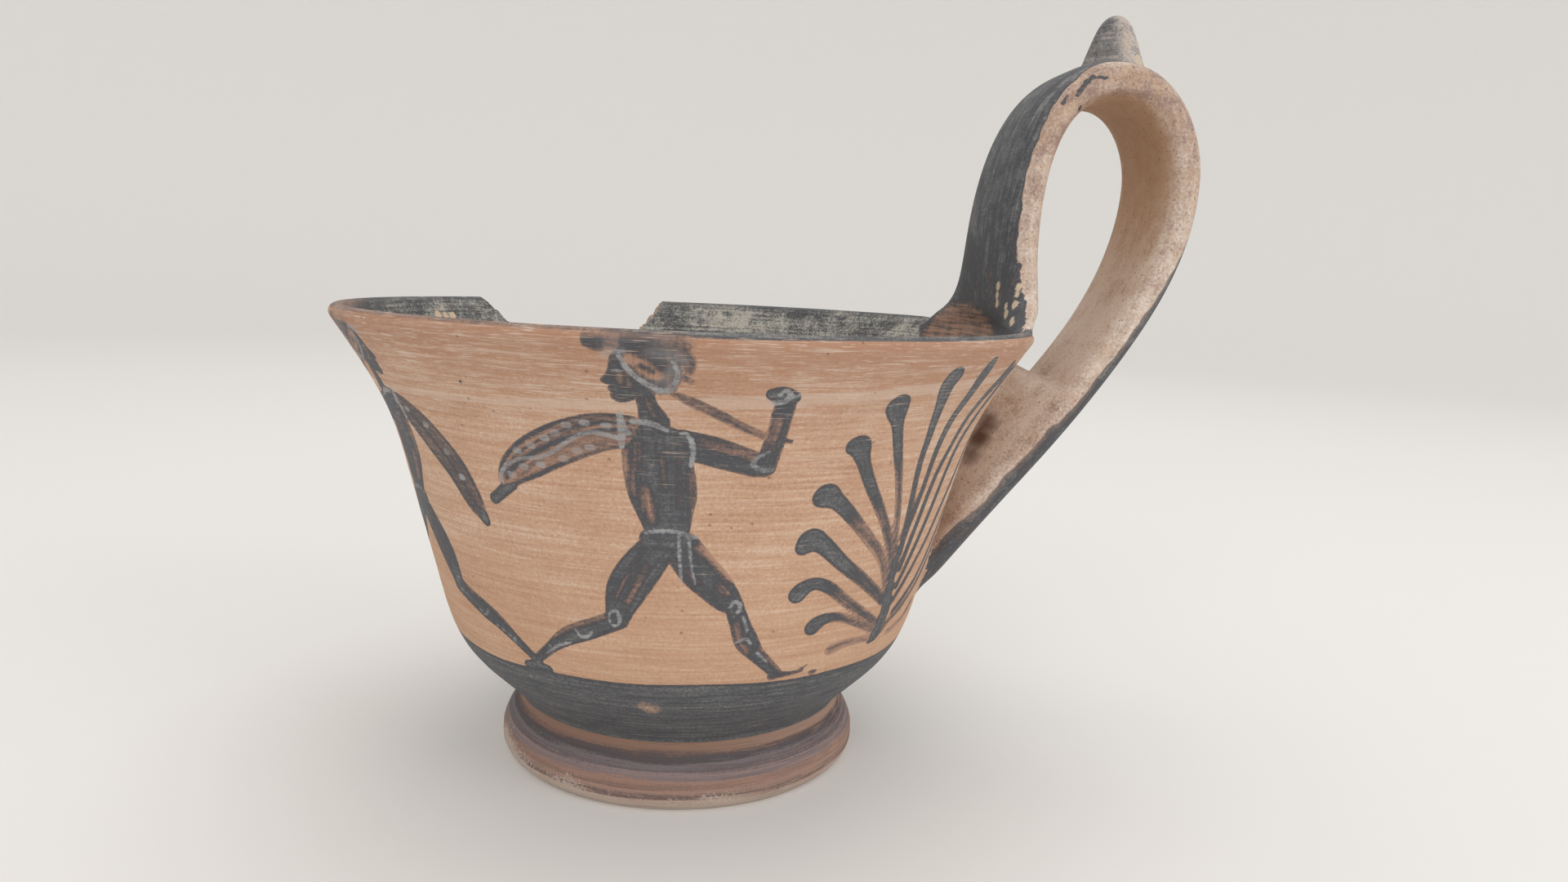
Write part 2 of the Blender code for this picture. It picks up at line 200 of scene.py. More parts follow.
def turned_outline():
    """The whole section, from the middle of the hollow underside round to the middle of the floor."""
    ring = BASE_RADIUS - BASE_RING_WIDTH
    slope = ring - RECESS_SLOPE_WIDTH
    recess = curve((slope - RECESS_SLOPE_WIDTH, 0.9 * RECESS_HEIGHT), (slope, 0.8 * RECESS_HEIGHT),
                   (ring - 0.15 * RECESS_SLOPE_WIDTH, 0.75 * RECESS_HEIGHT), (ring, 0.0))
    below = [(0.0, RECESS_HEIGHT), (0.4 * slope, RECESS_HEIGHT), recess[0]]
    base = [(ring, 0.0), (BASE_RADIUS, 0.0)]
    wall = outer_wall()
    lip_radius = LIP_THICKNESS / 2
    lip_centre = np.array((RIM_RADIUS - lip_radius, RIM_HEIGHT - lip_radius))
    turn = np.linspace(-FLARE_ANGLE, math.pi - FLARE_ANGLE, round(math.pi * lip_radius / LIP_SPACING))
    lip = lip_centre + lip_radius * np.column_stack([np.cos(turn), np.sin(turn)])
    rising_wall, inside = wall[::-1], inner_wall(wall)
    plain = rising_wall[:, 1] < PLAIN_BELOW
    near_lip = inside[:, 1] > RIM_HEIGHT - FINE_INSIDE_DEPTH
    parts = [evenly(below, 2 * UNDERSIDE_SPACING), evenly(recess, UNDERSIDE_SPACING / 2),
             evenly(base, UNDERSIDE_SPACING), foot_side(), evenly(rising_wall[plain], PLAIN_SPACING),
             evenly(rising_wall[~plain], PAINTED_SPACING), lip,
             evenly(inside[near_lip], INSIDE_SPACING / 3), evenly(inside[~near_lip], INSIDE_SPACING)]
    return np.vstack([parts[0]] + [part[1:] for part in parts[1:]])


def tint(shade):
    """A colour written as sRGB hex, turned to the linear values that a shader takes."""
    linear = []
    for place in (1, 3, 5):
        part = int(shade[place:place + 2], 16) / 255
        linear.append(part / 12.92 if part <= 0.04045 else ((part + 0.055) / 1.055) ** 2.4)
    return (*linear, 1.0)


def add(tree, kind, settings=None, links=None, shades=()):
    """Adds one node. Links gives each input a value or a node's output, and shades fill a colour ramp."""
    made = tree.nodes.new(kind)
    for name, value in (settings or {}).items():
        setattr(made, name, value)
    for name, value in (links or {}).items():
        if isinstance(value, bpy.types.NodeSocket):
            tree.links.new(value, made.inputs[name])
        else:
            made.inputs[name].default_value = value
    for _ in shades[2:]:
        made.color_ramp.elements.new(0.5)
    for number, (share, shade) in enumerate(shades):
        made.color_ramp.elements[number].position = share
        made.color_ramp.elements[number].color = tint(shade)
    return made


def wheel_tree():
    """The potter's wheel: spins an outline into a closed body with faint throwing ridges."""
    tree = bpy.data.node_groups.new("potter's wheel", "GeometryNodeTree")
    for name, kind in (("Outline", "NodeSocketObject"), ("Columns", "NodeSocketInt"),
                       ("Crowded side", "NodeSocketFloat"), ("Crowding", "NodeSocketFloat"),
                       ("Ridge pitch", "NodeSocketFloat"), ("Ridge depth", "NodeSocketFloat"),
                       ("Seed", "NodeSocketFloat"), ("Clay", "NodeSocketMaterial")):
        tree.interface.new_socket(name=name, in_out="INPUT", socket_type=kind)
    tree.interface.new_socket(name="Body", in_out="OUTPUT", socket_type="NodeSocketGeometry")
    given = tree.nodes.new("NodeGroupInput").outputs
    number, sample = "ShaderNodeMath", "GeometryNodeSampleIndex"
    times, less = {"operation": "MULTIPLY"}, {"operation": "SUBTRACT"}
    outline = add(tree, "GeometryNodeObjectInfo", {}, {"Object": given["Outline"]}).outputs["Geometry"]
    rows = add(tree, "GeometryNodeAttributeDomainSize", {}, {0: outline}).outputs["Point Count"]
    columns = add(tree, number, {}, {0: given["Columns"], 1: 1.0}).outputs[0]
    grid = add(tree, "GeometryNodeMeshGrid", {},
               {"Size X": 1.0, "Size Y": 1.0, "Vertices X": columns, "Vertices Y": rows}).outputs["Mesh"]
    place = tree.nodes.new("GeometryNodeInputPosition").outputs[0]
    apart = add(tree, "ShaderNodeSeparateXYZ", {}, {0: place}).outputs

    # Each column's turn round the axis
    across = add(tree, number, {}, {0: apart["X"], 1: 0.5}).outputs[0]
    turn = add(tree, number, times, {0: across, 1: 2 * math.pi}).outputs[0]
    swing = add(tree, number, less, {0: turn, 1: given["Crowded side"]}).outputs[0]
    swing = add(tree, number, {"operation": "SINE"}, {0: swing}).outputs[0]
    lag = add(tree, number, times, {0: swing, 1: given["Crowding"]}).outputs[0]
    turn = add(tree, number, less, {0: turn, 1: lag}).outputs[0]
    cosine = add(tree, number, {"operation": "COSINE"}, {0: turn}).outputs[0]
    sine = add(tree, number, {"operation": "SINE"}, {0: turn}).outputs[0]

    # Each row's point on the outline, and how far the ridges stand out there
    last_row = add(tree, number, less, {0: rows, 1: 1.0}).outputs[0]
    upward = add(tree, number, {}, {0: apart["Y"], 1: 0.5}).outputs[0]
    row = add(tree, number, times, {0: upward, 1: last_row}).outputs[0]
    row = add(tree, number, {"operation": "ROUND"}, {0: row}).outputs[0]
    point = add(tree, sample, {"data_type": "FLOAT_VECTOR"},
                {"Geometry": outline, "Value": place, "Index": row}).outputs["Value"]
    point = add(tree, "ShaderNodeSeparateXYZ", {}, {0: point}).outputs
    weight = add(tree, "GeometryNodeInputNamedAttribute", {"data_type": "FLOAT"},
                 {"Name": "ridges"}).outputs[0]
    weight = add(tree, sample, {"data_type": "FLOAT"},
                 {"Geometry": outline, "Value": weight, "Index": row}).outputs["Value"]

    # Throwing ridges: a noise that is stretched round the axis
    level = add(tree, number, {"operation": "DIVIDE"}, {0: point["Z"], 1: given["Ridge pitch"]}).outputs[0]
    spiral = add(tree, "ShaderNodeCombineXYZ", {}, {"X": cosine, "Y": sine, "Z": level}).outputs[0]
    ridge = add(tree, "ShaderNodeTexNoise", {"noise_dimensions": "4D"},
                {"Vector": spiral, "W": given["Seed"], "Scale": 1.0, "Detail": 2.0}).outputs["Fac"]
    ridge = add(tree, number, less, {0: ridge, 1: 0.5}).outputs[0]
    depth = add(tree, number, times, {0: weight, 1: given["Ridge depth"]}).outputs[0]
    radius = add(tree, number, {"operation": "MULTIPLY_ADD"}, {0: ridge, 1: depth, 2: point["X"]}).outputs[0]
    x = add(tree, number, times, {0: radius, 1: cosine}).outputs[0]
    y = add(tree, number, times, {0: radius, 1: sine}).outputs[0]
    spun = add(tree, "ShaderNodeCombineXYZ", {}, {"X": x, "Y": y, "Z": point["Z"]}).outputs[0]
    body = add(tree, "GeometryNodeSetPosition", {}, {"Geometry": grid, "Position": spun}).outputs[0]
    body = add(tree, "GeometryNodeMergeByDistance", {}, {"Geometry": body, "Distance": 1e-6}).outputs[0]
    body = add(tree, "GeometryNodeRealizeInstances", {}, {"Geometry": body}).outputs[0]
    body = add(tree, "GeometryNodeSetMaterial", {}, {"Geometry": body, "Material": given["Clay"]}).outputs[0]
    tree.links.new(body, tree.nodes.new("NodeGroupOutput").inputs["Body"])
    return tree


def thrown(name, outline, ridges, columns, crowding=0.0, place=(0.0, 0.0)):
    """Spins an outline on the wheel and returns it as a plain mesh object at its place."""
    line = bpy.data.meshes.new(name + " outline")
    points = [(radius * MM, 0.0, height * MM) for radius, height in outline]
    line.from_pydata(points, [(step, step + 1) for step in range(len(points) - 1)], [])
    line.attributes.new("ridges", "FLOAT", "POINT").data.foreach_set("value", np.asarray(ridges, np.float32))
    guide = bpy.data.objects.new(name + " outline", line)
    host = bpy.data.objects.new(name, bpy.data.meshes.new(name + " host"))
    for thing in (guide, host):
        bpy.context.scene.collection.objects.link(thing)
    wheel = host.modifiers.new("wheel", "NODES")
    wheel.node_group = WHEEL
    settings = {"Outline": guide, "Columns": columns, "Crowded side": math.radians(CROWDED_SIDE),
                "Crowding": crowding, "Ridge pitch": RIDGE_PITCH * MM, "Ridge depth": RIDGE_DEPTH * MM,
                "Seed": RIDGE_SEED, "Clay": painted_clay}
    for item in WHEEL.interface.items_tree:
        if item.name in settings:
            wheel[item.identifier] = settings[item.name]
    body = bpy.data.meshes.new_from_object(host.evaluated_get(bpy.context.evaluated_depsgraph_get()))
    host.modifiers.remove(wheel)
    host.data = body
    bpy.data.objects.remove(guide)
    places = points_of(body) + ((AXIS_X + place[0]) * MM, 0.0, place[1] * MM)
    body.vertices.foreach_set("co", places.astype(np.float32).ravel())
    return host


def points_of(mesh):
    """A mesh's vertices as an array of places."""
    places = np.empty(len(mesh.vertices) * 3, np.float32)
    mesh.vertices.foreach_get("co", places)
    return places.reshape(-1, 3).astype(float)


painted_clay = bpy.data.materials.new("slip-painted fired clay")
broken_clay = bpy.data.materials.new("fractured fired clay")
WHEEL = wheel_tree()
bowl_outline = turned_outline()
on_lip = bowl_outline[:, 1] > RIM_HEIGHT - LIP_THICKNESS
bowl_ridges = np.where(on_lip, 0.4, 1.0) * np.clip(bowl_outline[:, 0] / 10.0, 0.0, 1.0)
bowl_ridges *= np.clip(bowl_outline[:, 1] / 4.0, 0.0, 1.0)
cup = thrown("kyathos_body", bowl_outline, bowl_ridges, COLUMNS, CROWDING)

# Handle: one strap of clay, pulled by hand, pressed onto the rim and drawn out over it, looped over and
# luted to the wall, where a web of clay closes the narrow gap. Its edges are pared into two facets.
STRAP_WIDTH = 21.6
RISER_EXTRA_WIDTH = 2.5
STRAP_THICKNESS = 7.0
RISER_SETBACK = 2.5
RISER_LEAN = math.radians(5.0)
LOOP_TOP_HEIGHT = 42.4
LOOP_TOP_OUT = 13.4
LOOP_REACH = cad_high[0] / MM - AXIS_X - STRAP_THICKNESS / 2
LOOP_REACH_HEIGHT = 26.2
LOWER_END_BELOW_RIM = 46.4
LOWER_END_ANGLE = math.radians(33.0)
ROOT_DEPTH = 6.0
ROOT_FLARE = 12.5
ROOT_FLARE_HEIGHT = 5.5
WEB_TOP_BELOW_RIM = 11.2
WEB_BLEND = 3.0
WEB_HOLLOW = 1.6
STRAP_FULLNESS = 3.4
ROOT_SLIMMING = 1.2
BURIED_THICKNESS_SHARE = 0.3
TAIL_EXTRA_WIDTH_SHARE = 0.12
HAND_WAVE = 0.12
HAND_WAVE_PITCH = 7.0
ROOT_PULL = 0.4
RISER_ROOT_PULL = 0.3
RISER_PULL = 0.64
TOP_INNER_PULL = 0.9
TOP_OUTER_PULL = 0.66
REACH_UPPER_PULL = 0.43
REACH_LOWER_PULL = 0.365
LOWER_END_PULL = 0.39
STRAP_SPACING = 1.1
STRAP_AROUND = 60
PROBE_STEP = 0.1


def rise_from(low_end, high_end, value):
    """0 at the low end, 1 at the high end, with soft ends."""
    share = np.clip((np.asarray(value, float) - low_end) / (high_end - low_end), 0.0, 1.0)
    return share * share * (3 - 2 * share)


wall_line = evenly(outer_wall()[::-1], LINE_SPACING)
inner_line = inner_wall(outer_wall())[::-1]


def outside_radius(height):
    """The bowl's outside radius at a height."""
    return np.interp(height, wall_line[:, 1], wall_line[:, 0])


def strap_path():
    """The handle's centre line in the plane of reach and height."""
    setback = ROOT_DEPTH * math.tan(FLARE_ANGLE) + LIP_THICKNESS / 2
    root = np.array((RIM_RADIUS - setback, RIM_HEIGHT - ROOT_DEPTH))
    riser = np.array((RIM_RADIUS - RISER_SETBACK, RIM_HEIGHT + 0.2 * ROOT_FLARE_HEIGHT))
    top = np.array((RIM_RADIUS + LOOP_TOP_OUT, RIM_HEIGHT + LOOP_TOP_HEIGHT))
    reach = np.array((LOOP_REACH, RIM_HEIGHT + LOOP_REACH_HEIGHT))
    lower_height = RIM_HEIGHT - LOWER_END_BELOW_RIM
    lower = np.array((outside_radius(lower_height) - WALL_THICKNESS / 2, lower_height))
    up = np.array((-math.sin(RISER_LEAN), math.cos(RISER_LEAN)))
    away = np.array((math.sin(LOWER_END_ANGLE), math.cos(LOWER_END_ANGLE)))
    fall = reach[1] - lower[1]
    pieces = (
        curve(root, root - heading(FLARE_ANGLE) * ROOT_PULL * ROOT_DEPTH,
              riser - up * RISER_ROOT_PULL * ROOT_DEPTH, riser),
        curve(riser, riser + up * RISER_PULL * (top[1] - riser[1]),
              top - (TOP_INNER_PULL * LOOP_TOP_OUT, 0.0), top),
        curve(top, top + (TOP_OUTER_PULL * (reach[0] - top[0]), 0.0),
              reach + (0.0, REACH_UPPER_PULL * (top[1] - reach[1])), reach),
        curve(reach, reach - (0.0, REACH_LOWER_PULL * fall), lower + away * LOWER_END_PULL * fall, lower),
    )
    return evenly(np.vstack([pieces[0]] + [piece[1:] for piece in pieces[1:]]), STRAP_SPACING)


def gap_to_wall(point, side):
    """Distance from a point on the strap to the middle of the bowl's wall."""
    steps = np.arange(0.0, LOOP_REACH, PROBE_STEP)
    probes = point + steps[:, None] * side
    reached = probes[:, 0] <= outside_radius(probes[:, 1]) - WALL_THICKNESS / 2
    return steps[reached.argmax()] if reached.any() else 0.0


strap_line = strap_path()
strap_along = distance_along(strap_line)
strap_heading = np.gradient(strap_line, axis=0)
strap_heading /= np.linalg.norm(strap_heading, axis=1)[:, None]
strap_hole_side = np.column_stack([strap_heading[:, 1], -strap_heading[:, 0]])
crest = strap_line[:, 1].argmax()
rising = np.arange(len(strap_line)) <= crest
above_rim = strap_line[:, 1] - RIM_HEIGHT
root_share = np.where(rising, np.exp(-np.maximum(above_rim, 0.0) / ROOT_FLARE_HEIGHT), 0.0)
tail_share = np.where(rising, 0.0, 1 - rise_from(0.0, 3 * STRAP_THICKNESS, above_rim + LOWER_END_BELOW_RIM))
widening = np.where(rising, 1 - rise_from(0.0, LOOP_TOP_HEIGHT, above_rim), 0.0)
strap_half_width = ((STRAP_WIDTH + RISER_EXTRA_WIDTH * widening) / 2 + ROOT_FLARE * root_share
                    + TAIL_EXTRA_WIDTH_SHARE * STRAP_WIDTH * tail_share)


def skin(rings):
    """Faces between rings that have as many points each, and a flat face on either end."""
    count = len(rings[0])
    faces = []
    for first in range(0, (len(rings) - 1) * count, count):
        second = first + count
        for step in range(count):
            after = (step + 1) % count
            faces.append((first + after, first + step, second + step, second + after))
    last = (len(rings) - 1) * count
    return faces + [tuple(range(count)), tuple(range(last + count - 1, last - 1, -1))]


def strap_mesh():
    """The handle as rings of points round its centre line."""
    rings = []
    angles = np.linspace(0.0, 2 * math.pi, STRAP_AROUND, endpoint=False)
    for index, point in enumerate(strap_line):
        hole_side = strap_hole_side[index]
        if rising[index]:
            risen = rise_from(-ROOT_DEPTH, 0.6 * ROOT_FLARE_HEIGHT, above_rim[index])
            thickness = BURIED_THICKNESS_SHARE + (1 - BURIED_THICKNESS_SHARE) * risen
        else:
            above_end = above_rim[index] + LOWER_END_BELOW_RIM
            thickness = rise_from(-1.32 * STRAP_THICKNESS, 0.88 * STRAP_THICKNESS, above_end)
        half_thickness = STRAP_THICKNESS / 2 * thickness
        below_web_top = -WEB_TOP_BELOW_RIM - above_rim[index]
        web = 0.0
        if not rising[index] and below_web_top > 0:
            gap = gap_to_wall(point, hole_side)
            web = max(0.0, gap - half_thickness) * rise_from(0.0, WEB_BLEND, below_web_top)
        hug = max(root_share[index], tail_share[index])
        power = 2 / (STRAP_FULLNESS - ROOT_SLIMMING * hug)
        across = np.sign(np.cos(angles)) * np.abs(np.cos(angles)) ** power
        through = np.sign(np.sin(angles)) * np.abs(np.sin(angles)) ** power
        pared = 1 - 0.045 * (1 - hug) * np.abs(through - 0.15)
        side = across * strap_half_width[index] * pared
        depth = through * half_thickness
        depth += np.where(through > 0, web * (1 - np.abs(across)) ** WEB_HOLLOW, 0.0)
        depth += HAND_WAVE * np.sin(strap_along[index] / HAND_WAVE_PITCH + 2.0 * across) * (1 - hug)
        bend = np.maximum(point[0], np.abs(side) * 1.05)
        sag = hug * (bend - np.sqrt(bend ** 2 - side ** 2))
        reach = point[0] + hole_side[0] * depth - sag
        height = point[1] + hole_side[1] * depth
        inside = np.interp(height, inner_line[:, 1], inner_line[:, 0]) + 0.35 * WALL_THICKNESS
        radius = np.hypot(reach, side)
        low_down = above_rim[index] < -0.3 * LOWER_END_BELOW_RIM
        push = np.where(low_down, np.maximum(inside / radius, 1.0), 1.0)
        rings.append(np.column_stack([reach * push, side * push, height]))
    return solid("strap", rings, 0)


def solid(name, rings, slot):
    """An object from rings of places round the bowl's axis, in millimetres, with one of the two clays."""
    mesh = bpy.data.meshes.new(name)
    faces = skin(rings)
    mesh.from_pydata((np.vstack(rings) + (AXIS_X, 0.0, 0.0)) * MM, [], faces)
    mesh.materials.append(painted_clay)
    mesh.materials.append(broken_clay)
    mesh.polygons.foreach_set("material_index", np.full(len(faces), slot, np.int32))
    thing = bpy.data.objects.new(name, mesh)
    bpy.context.scene.collection.objects.link(thing)
    return thing


strap = strap_mesh()

# Knob: a small pinched cone of the same clay that stands on top of the loop, where the thumb rests. It was
# turned by hand and luted on.
KNOB_RADIUS = 5.6
KNOB_SINK = 2.0
KNOB_SPACING = 0.5
KNOB_COLUMNS = 72
KNOB_TIP = cad_high[2] / MM
KNOB_FOOT = RIM_HEIGHT + LOOP_TOP_HEIGHT + STRAP_THICKNESS / 2
KNOB_REACH = RIM_RADIUS + LOOP_TOP_OUT + 0.35 * KNOB_RADIUS

knob_height = KNOB_TIP - KNOB_FOOT
knob_side = curve((KNOB_RADIUS, 0.0), (0.72 * KNOB_RADIUS, 0.25 * knob_height),
                  (0.62 * KNOB_RADIUS, 1.02 * knob_height), (0.0, knob_height))
knob_outline = np.vstack([[(0.0, -KNOB_SINK), (0.8 * KNOB_RADIUS, -KNOB_SINK)],
                          evenly(knob_side, KNOB_SPACING)])
knob_ridges = np.zeros(len(knob_outline))
knob = thrown("knob", knob_outline, knob_ridges, KNOB_COLUMNS, place=(KNOB_REACH, KNOB_FOOT))

# Break: a piece of the rim is lost on the far side. Its edge is a rough fracture that slants through the
# wall, and it runs past both faces of the cup as a cutter.
BREAK_EDGE = ((91.5, 0.0), (93.8, 2.9), (95.9, 4.7), (97.4, 6.5), (102.0, 8.8), (108.0, 10.0),
              (114.0, 10.9), (120.0, 9.6), (126.0, 7.4), (130.2, 4.9), (132.2, 2.6), (134.4, 0.0))
BREAK_ROUGHNESS = 0.25
BREAK_SLANT = 0.5
BREAK_GRAIN = 0.16
BREAK_STEPS = 110
BREAK_STEPS_THROUGH = 26
BREAK_SEED = 11


def break_cutter():
    """The lost piece of the rim as a block with a rough underside."""
    chance = np.random.default_rng(BREAK_SEED)
    degrees = np.linspace(BREAK_EDGE[0][0], BREAK_EDGE[-1][0], BREAK_STEPS)
    depth = np.interp(degrees, *np.array(BREAK_EDGE).T)
    ragged = np.sin(degrees * 2.9) + 0.6 * np.sin(degrees * 6.7 + 1.3)
    depth += BREAK_ROUGHNESS * ragged * np.minimum(1.0, depth / 3)
    inner = RIM_RADIUS - 0.35 * WAIST_BELOW_RIM - 3 * WALL_THICKNESS
    through = np.linspace(inner + 3, RIM_RADIUS + 0.5, BREAK_STEPS_THROUGH)
    radii = np.concatenate([[inner], through, [RIM_RADIUS + WALL_THICKNESS]])
    rings = []
    for angle, below in zip(np.radians(degrees), depth):
        slant = BREAK_SLANT * math.sin(math.degrees(angle) * 0.8)
        bottom = RIM_HEIGHT - below + slant * np.linspace(1.0, -1.0, len(radii))
        bottom += BREAK_GRAIN * chance.standard_normal(len(radii))
        reach = np.concatenate([radii, [radii[-1], radii[0]]])
        level = np.concatenate([bottom, [RIM_HEIGHT + LIP_THICKNESS] * 2])
        rings.append(np.column_stack([reach * math.cos(angle), reach * math.sin(angle), level]))
    return solid("break", rings, 1)


# Joining: handle and knob are luted to the cup with wet clay, which leaves a soft fillet at each joint, and
# the lost piece is cut away. The whole is one fired body. Only vertices past HANDLE_SIDE can be the handle's.
FILLET = 2.2
FILLET_PASSES = 24
HANDLE_SIDE = 20.0


def combine(target, tool, operation):
    """Joins or cuts with another solid and takes that solid away."""
    step = target.modifiers.new("join", "BOOLEAN")
    step.operation = operation
    step.solver = "EXACT"
    step.object = tool
    mesh = bpy.data.meshes.new_from_object(target.evaluated_get(bpy.context.evaluated_depsgraph_get()))
    target.modifiers.remove(step)
    target.data = mesh
    bpy.data.objects.remove(tool)


def soften(mesh, weight, passes):
    """Draws each vertex towards the middle of its neighbours by its weight."""
    places = points_of(mesh)
    edges = np.empty(len(mesh.edges) * 2, np.int32)
    mesh.edges.foreach_get("vertices", edges)
    near = edges.reshape(-1, 2)
    near = near[(weight[near] > 0).any(axis=1)]
    count = np.zeros(len(places))
    np.add.at(count, near.ravel(), 1)
    for _ in range(passes):
        total = np.zeros_like(places)
        np.add.at(total, near[:, 0], places[near[:, 1]])
        np.add.at(total, near[:, 1], places[near[:, 0]])
        middle = total / np.maximum(count, 1)[:, None]
        places += 0.5 * weight[:, None] * np.where(count[:, None] > 0, middle - places, 0.0)
    mesh.vertices.foreach_set("co", places.astype(np.float32).ravel())


def distance_to(places, thing_tree):
    """Distance of each place to a surface, in millimetres, up to the fillet's reach."""
    found = [thing_tree.find_nearest(place, 2 * FILLET * MM)[3] for place in places]
    return np.array([2 * FILLET if distance is None else distance / MM for distance in found])


surfaces = {}
for piece in (cup, strap, knob):
    corners = [tuple(face.vertices) for face in piece.data.polygons]
    surfaces[piece.name] = BVHTree.FromPolygons(points_of(piece.data).tolist(), corners)
cup.data.materials.append(broken_clay)
combine(cup, break_cutter(), "DIFFERENCE")
combine(cup, strap, "UNION")
combine(cup, knob, "UNION")
cup.data.update()
joined = points_of(cup.data)
local = joined / MM - (AXIS_X, 0.0, 0.0)
candidates = np.flatnonzero(local[:, 0] > HANDLE_SIDE)
gaps = {name: distance_to(joined[candidates], tree) for name, tree in surfaces.items()}
seam = np.minimum(np.maximum(gaps["kyathos_body"], gaps["strap"]), np.maximum(gaps["strap"], gaps["knob"]))
seam_weight = np.zeros(len(joined))
seam_weight[candidates] = 1 - rise_from(0.3 * FILLET, FILLET, seam)
soften(cup.data, seam_weight, FILLET_PASSES)

# Painting: dark slip brushed on before firing, thin enough in places to fire brown, with dull white on top.
# A stroke is kept as its depth in millimetres inside its edge, and as how loaded the brush was. CLOSE_WORK
# holds patches of small brushwork, each from one turn to another and from one height to another.
DEEP = 6.0
CLOSE_WORK = ((-130, -103, 50, 66), (-109, -93, 47, 75), (-93, -80, 56, 70), (-111, -84, 34, 49),
              (-127, -107, 25, 37), (-87, -67, 24, 38), (-163, -148, 60, 75), (-152, -132, 46, 62),
              (142, 150, 70, 75), (-13, -7, 108, 122), (-24, -8, 75, 90))


def split_faces(mesh, patches):
    """Splits each face in the patches into four."""
    work = bmesh.new()
    work.from_mesh(mesh)
    edges = set()
    for face in work.faces:
        middle = face.calc_center_bounds() / MM
        turn = math.degrees(math.atan2(middle.y, middle.x - AXIS_X))
        for start, end, bottom, top in patches:
            if start < turn < end and bottom < middle.z < top:
                edges.update(face.edges)
    bmesh.ops.subdivide_edges(work, edges=list(edges), cuts=1, use_grid_fill=True)
    work.to_mesh(mesh)
    work.free()


split_faces(cup.data, CLOSE_WORK)

# Which part of the cup each vertex belongs to. The top of the lip counts as inside, and so takes its slip.
places = points_of(cup.data) / MM - (AXIS_X, 0.0, 0.0)
reach = np.hypot(places[:, 0], places[:, 1])
degrees = np.degrees(np.arctan2(places[:, 1], places[:, 0]))
height = places[:, 2]
on_strap = np.zeros(len(places), bool)
on_knob = np.zeros(len(places), bool)
handle_side = np.flatnonzero(places[:, 0] > HANDLE_SIDE)
handle_places = (places[handle_side] + (AXIS_X, 0.0, 0.0)) * MM
gaps = {name: distance_to(handle_places, tree) for name, tree in surfaces.items()}
on_knob[handle_side] = gaps["knob"] < np.minimum(gaps["strap"], gaps["kyathos_body"])
on_strap[handle_side] = (gaps["strap"] < gaps["kyathos_body"]) & ~on_knob[handle_side]
on_cup = ~(on_strap | on_knob)
inside_reach = np.interp(height, inner_line[:, 1], inner_line[:, 0]) + 0.5 * WALL_THICKNESS
inside = on_cup & (height > FLOOR_HEIGHT - 1.0) & ((reach < inside_reach) | (height > RIM_HEIGHT - 0.35))
on_wall = on_cup & ~inside & (height > FOOT_HEIGHT - 0.05)
wall_rise = distance_along(wall_line)
risen = np.interp(height, wall_line[:, 1], wall_rise)

# The layers that are painted, with one value for each vertex: slip, white and bare are depths inside an
# edge, load is the brush's, and haze and rubbed are shares. Brush holds the places along and across a stroke.
slip = np.full(len(places), -DEEP)
load = np.ones(len(places))
white = np.full(len(places), -DEEP)
haze, rubbed = np.zeros((2, len(places)))
bare = np.full(len(places), -DEEP)
brush = np.column_stack([places[:, 0] + places[:, 1], height, np.zeros(len(places))])


def smooth_line(points, per_step=5):
    """A brush line through its points, without corners."""
    points = np.asarray(points, float)
    padded = np.vstack([2 * points[0] - points[1], points, 2 * points[-1] - points[-2]])
    share = np.linspace(0.0, 1.0, per_step, endpoint=False)[:, None]
    stretches = []
    for before, start, end, after in zip(padded, padded[1:], padded[2:], padded[3:]):
        stretches.append(0.5 * (2 * start + (end - before) * share
                                + (2 * before - 5 * start + 4 * end - after) * share ** 2
                                + (3 * start - before - 3 * end + after) * share ** 3))
    return np.vstack(stretches + [points[-1:]])


def near_wall(points, reach_out):
    """Which vertices of the outside wall lie close enough to be touched by these points."""
    middle = (points[:, 0].min() + points[:, 0].max()) / 2
    turn = (degrees - middle + 180.0) % 360.0 - 180.0
    spread = np.abs(points[:, 0] - middle).max() + math.degrees(reach_out / TURN_RADIUS) * 1.5
    above = height > points[:, 1].min() - reach_out
    below = height < points[:, 1].max() + reach_out
    return np.flatnonzero(on_wall & (np.abs(turn) < spread) & above & below)


def flat_offsets(chosen, point):
    """How far vertices lie from a point of the wall, round the cup and up along it, in millimetres."""
    turn = (degrees[chosen] - point[0] + 180.0) % 360.0 - 180.0
    return np.column_stack([np.radians(turn) * reach[chosen],
                            risen[chosen] - np.interp(point[1], wall_line[:, 1], wall_rise)])


def swept(points):
    """Where a stroke of (degrees, height, half width) points lies: vertices, depth, along and across."""
    points = smooth_line(points)
    chosen = near_wall(points, points[:, 2].max() + 1.5)
    depth, along, across = np.full(len(chosen), -DEEP), np.zeros(len(chosen)), np.zeros(len(chosen))
    run = 0.0
    for start, end in zip(points, points[1:]):
        from_start = flat_offsets(chosen, start)
        line = from_start - flat_offsets(chosen, end)
        length = np.maximum(np.hypot(line[:, 0], line[:, 1]), 1e-6)
        share = np.clip((from_start * line).sum(axis=1) / length ** 2, 0.0, 1.0)
        off = from_start - line * share[:, None]
        here = start[2] + (end[2] - start[2]) * share - np.hypot(off[:, 0], off[:, 1])
        beside_line = (from_start[:, 0] * line[:, 1] - from_start[:, 1] * line[:, 0]) / length
        better = here > depth
        depth = np.where(better, here, depth)
        along = np.where(better, run + share * length, along)
        across = np.where(better, beside_line, across)
        run += float(length.mean()) if len(length) else 0.0
    return chosen, depth, along, across, max(run, 1e-6)


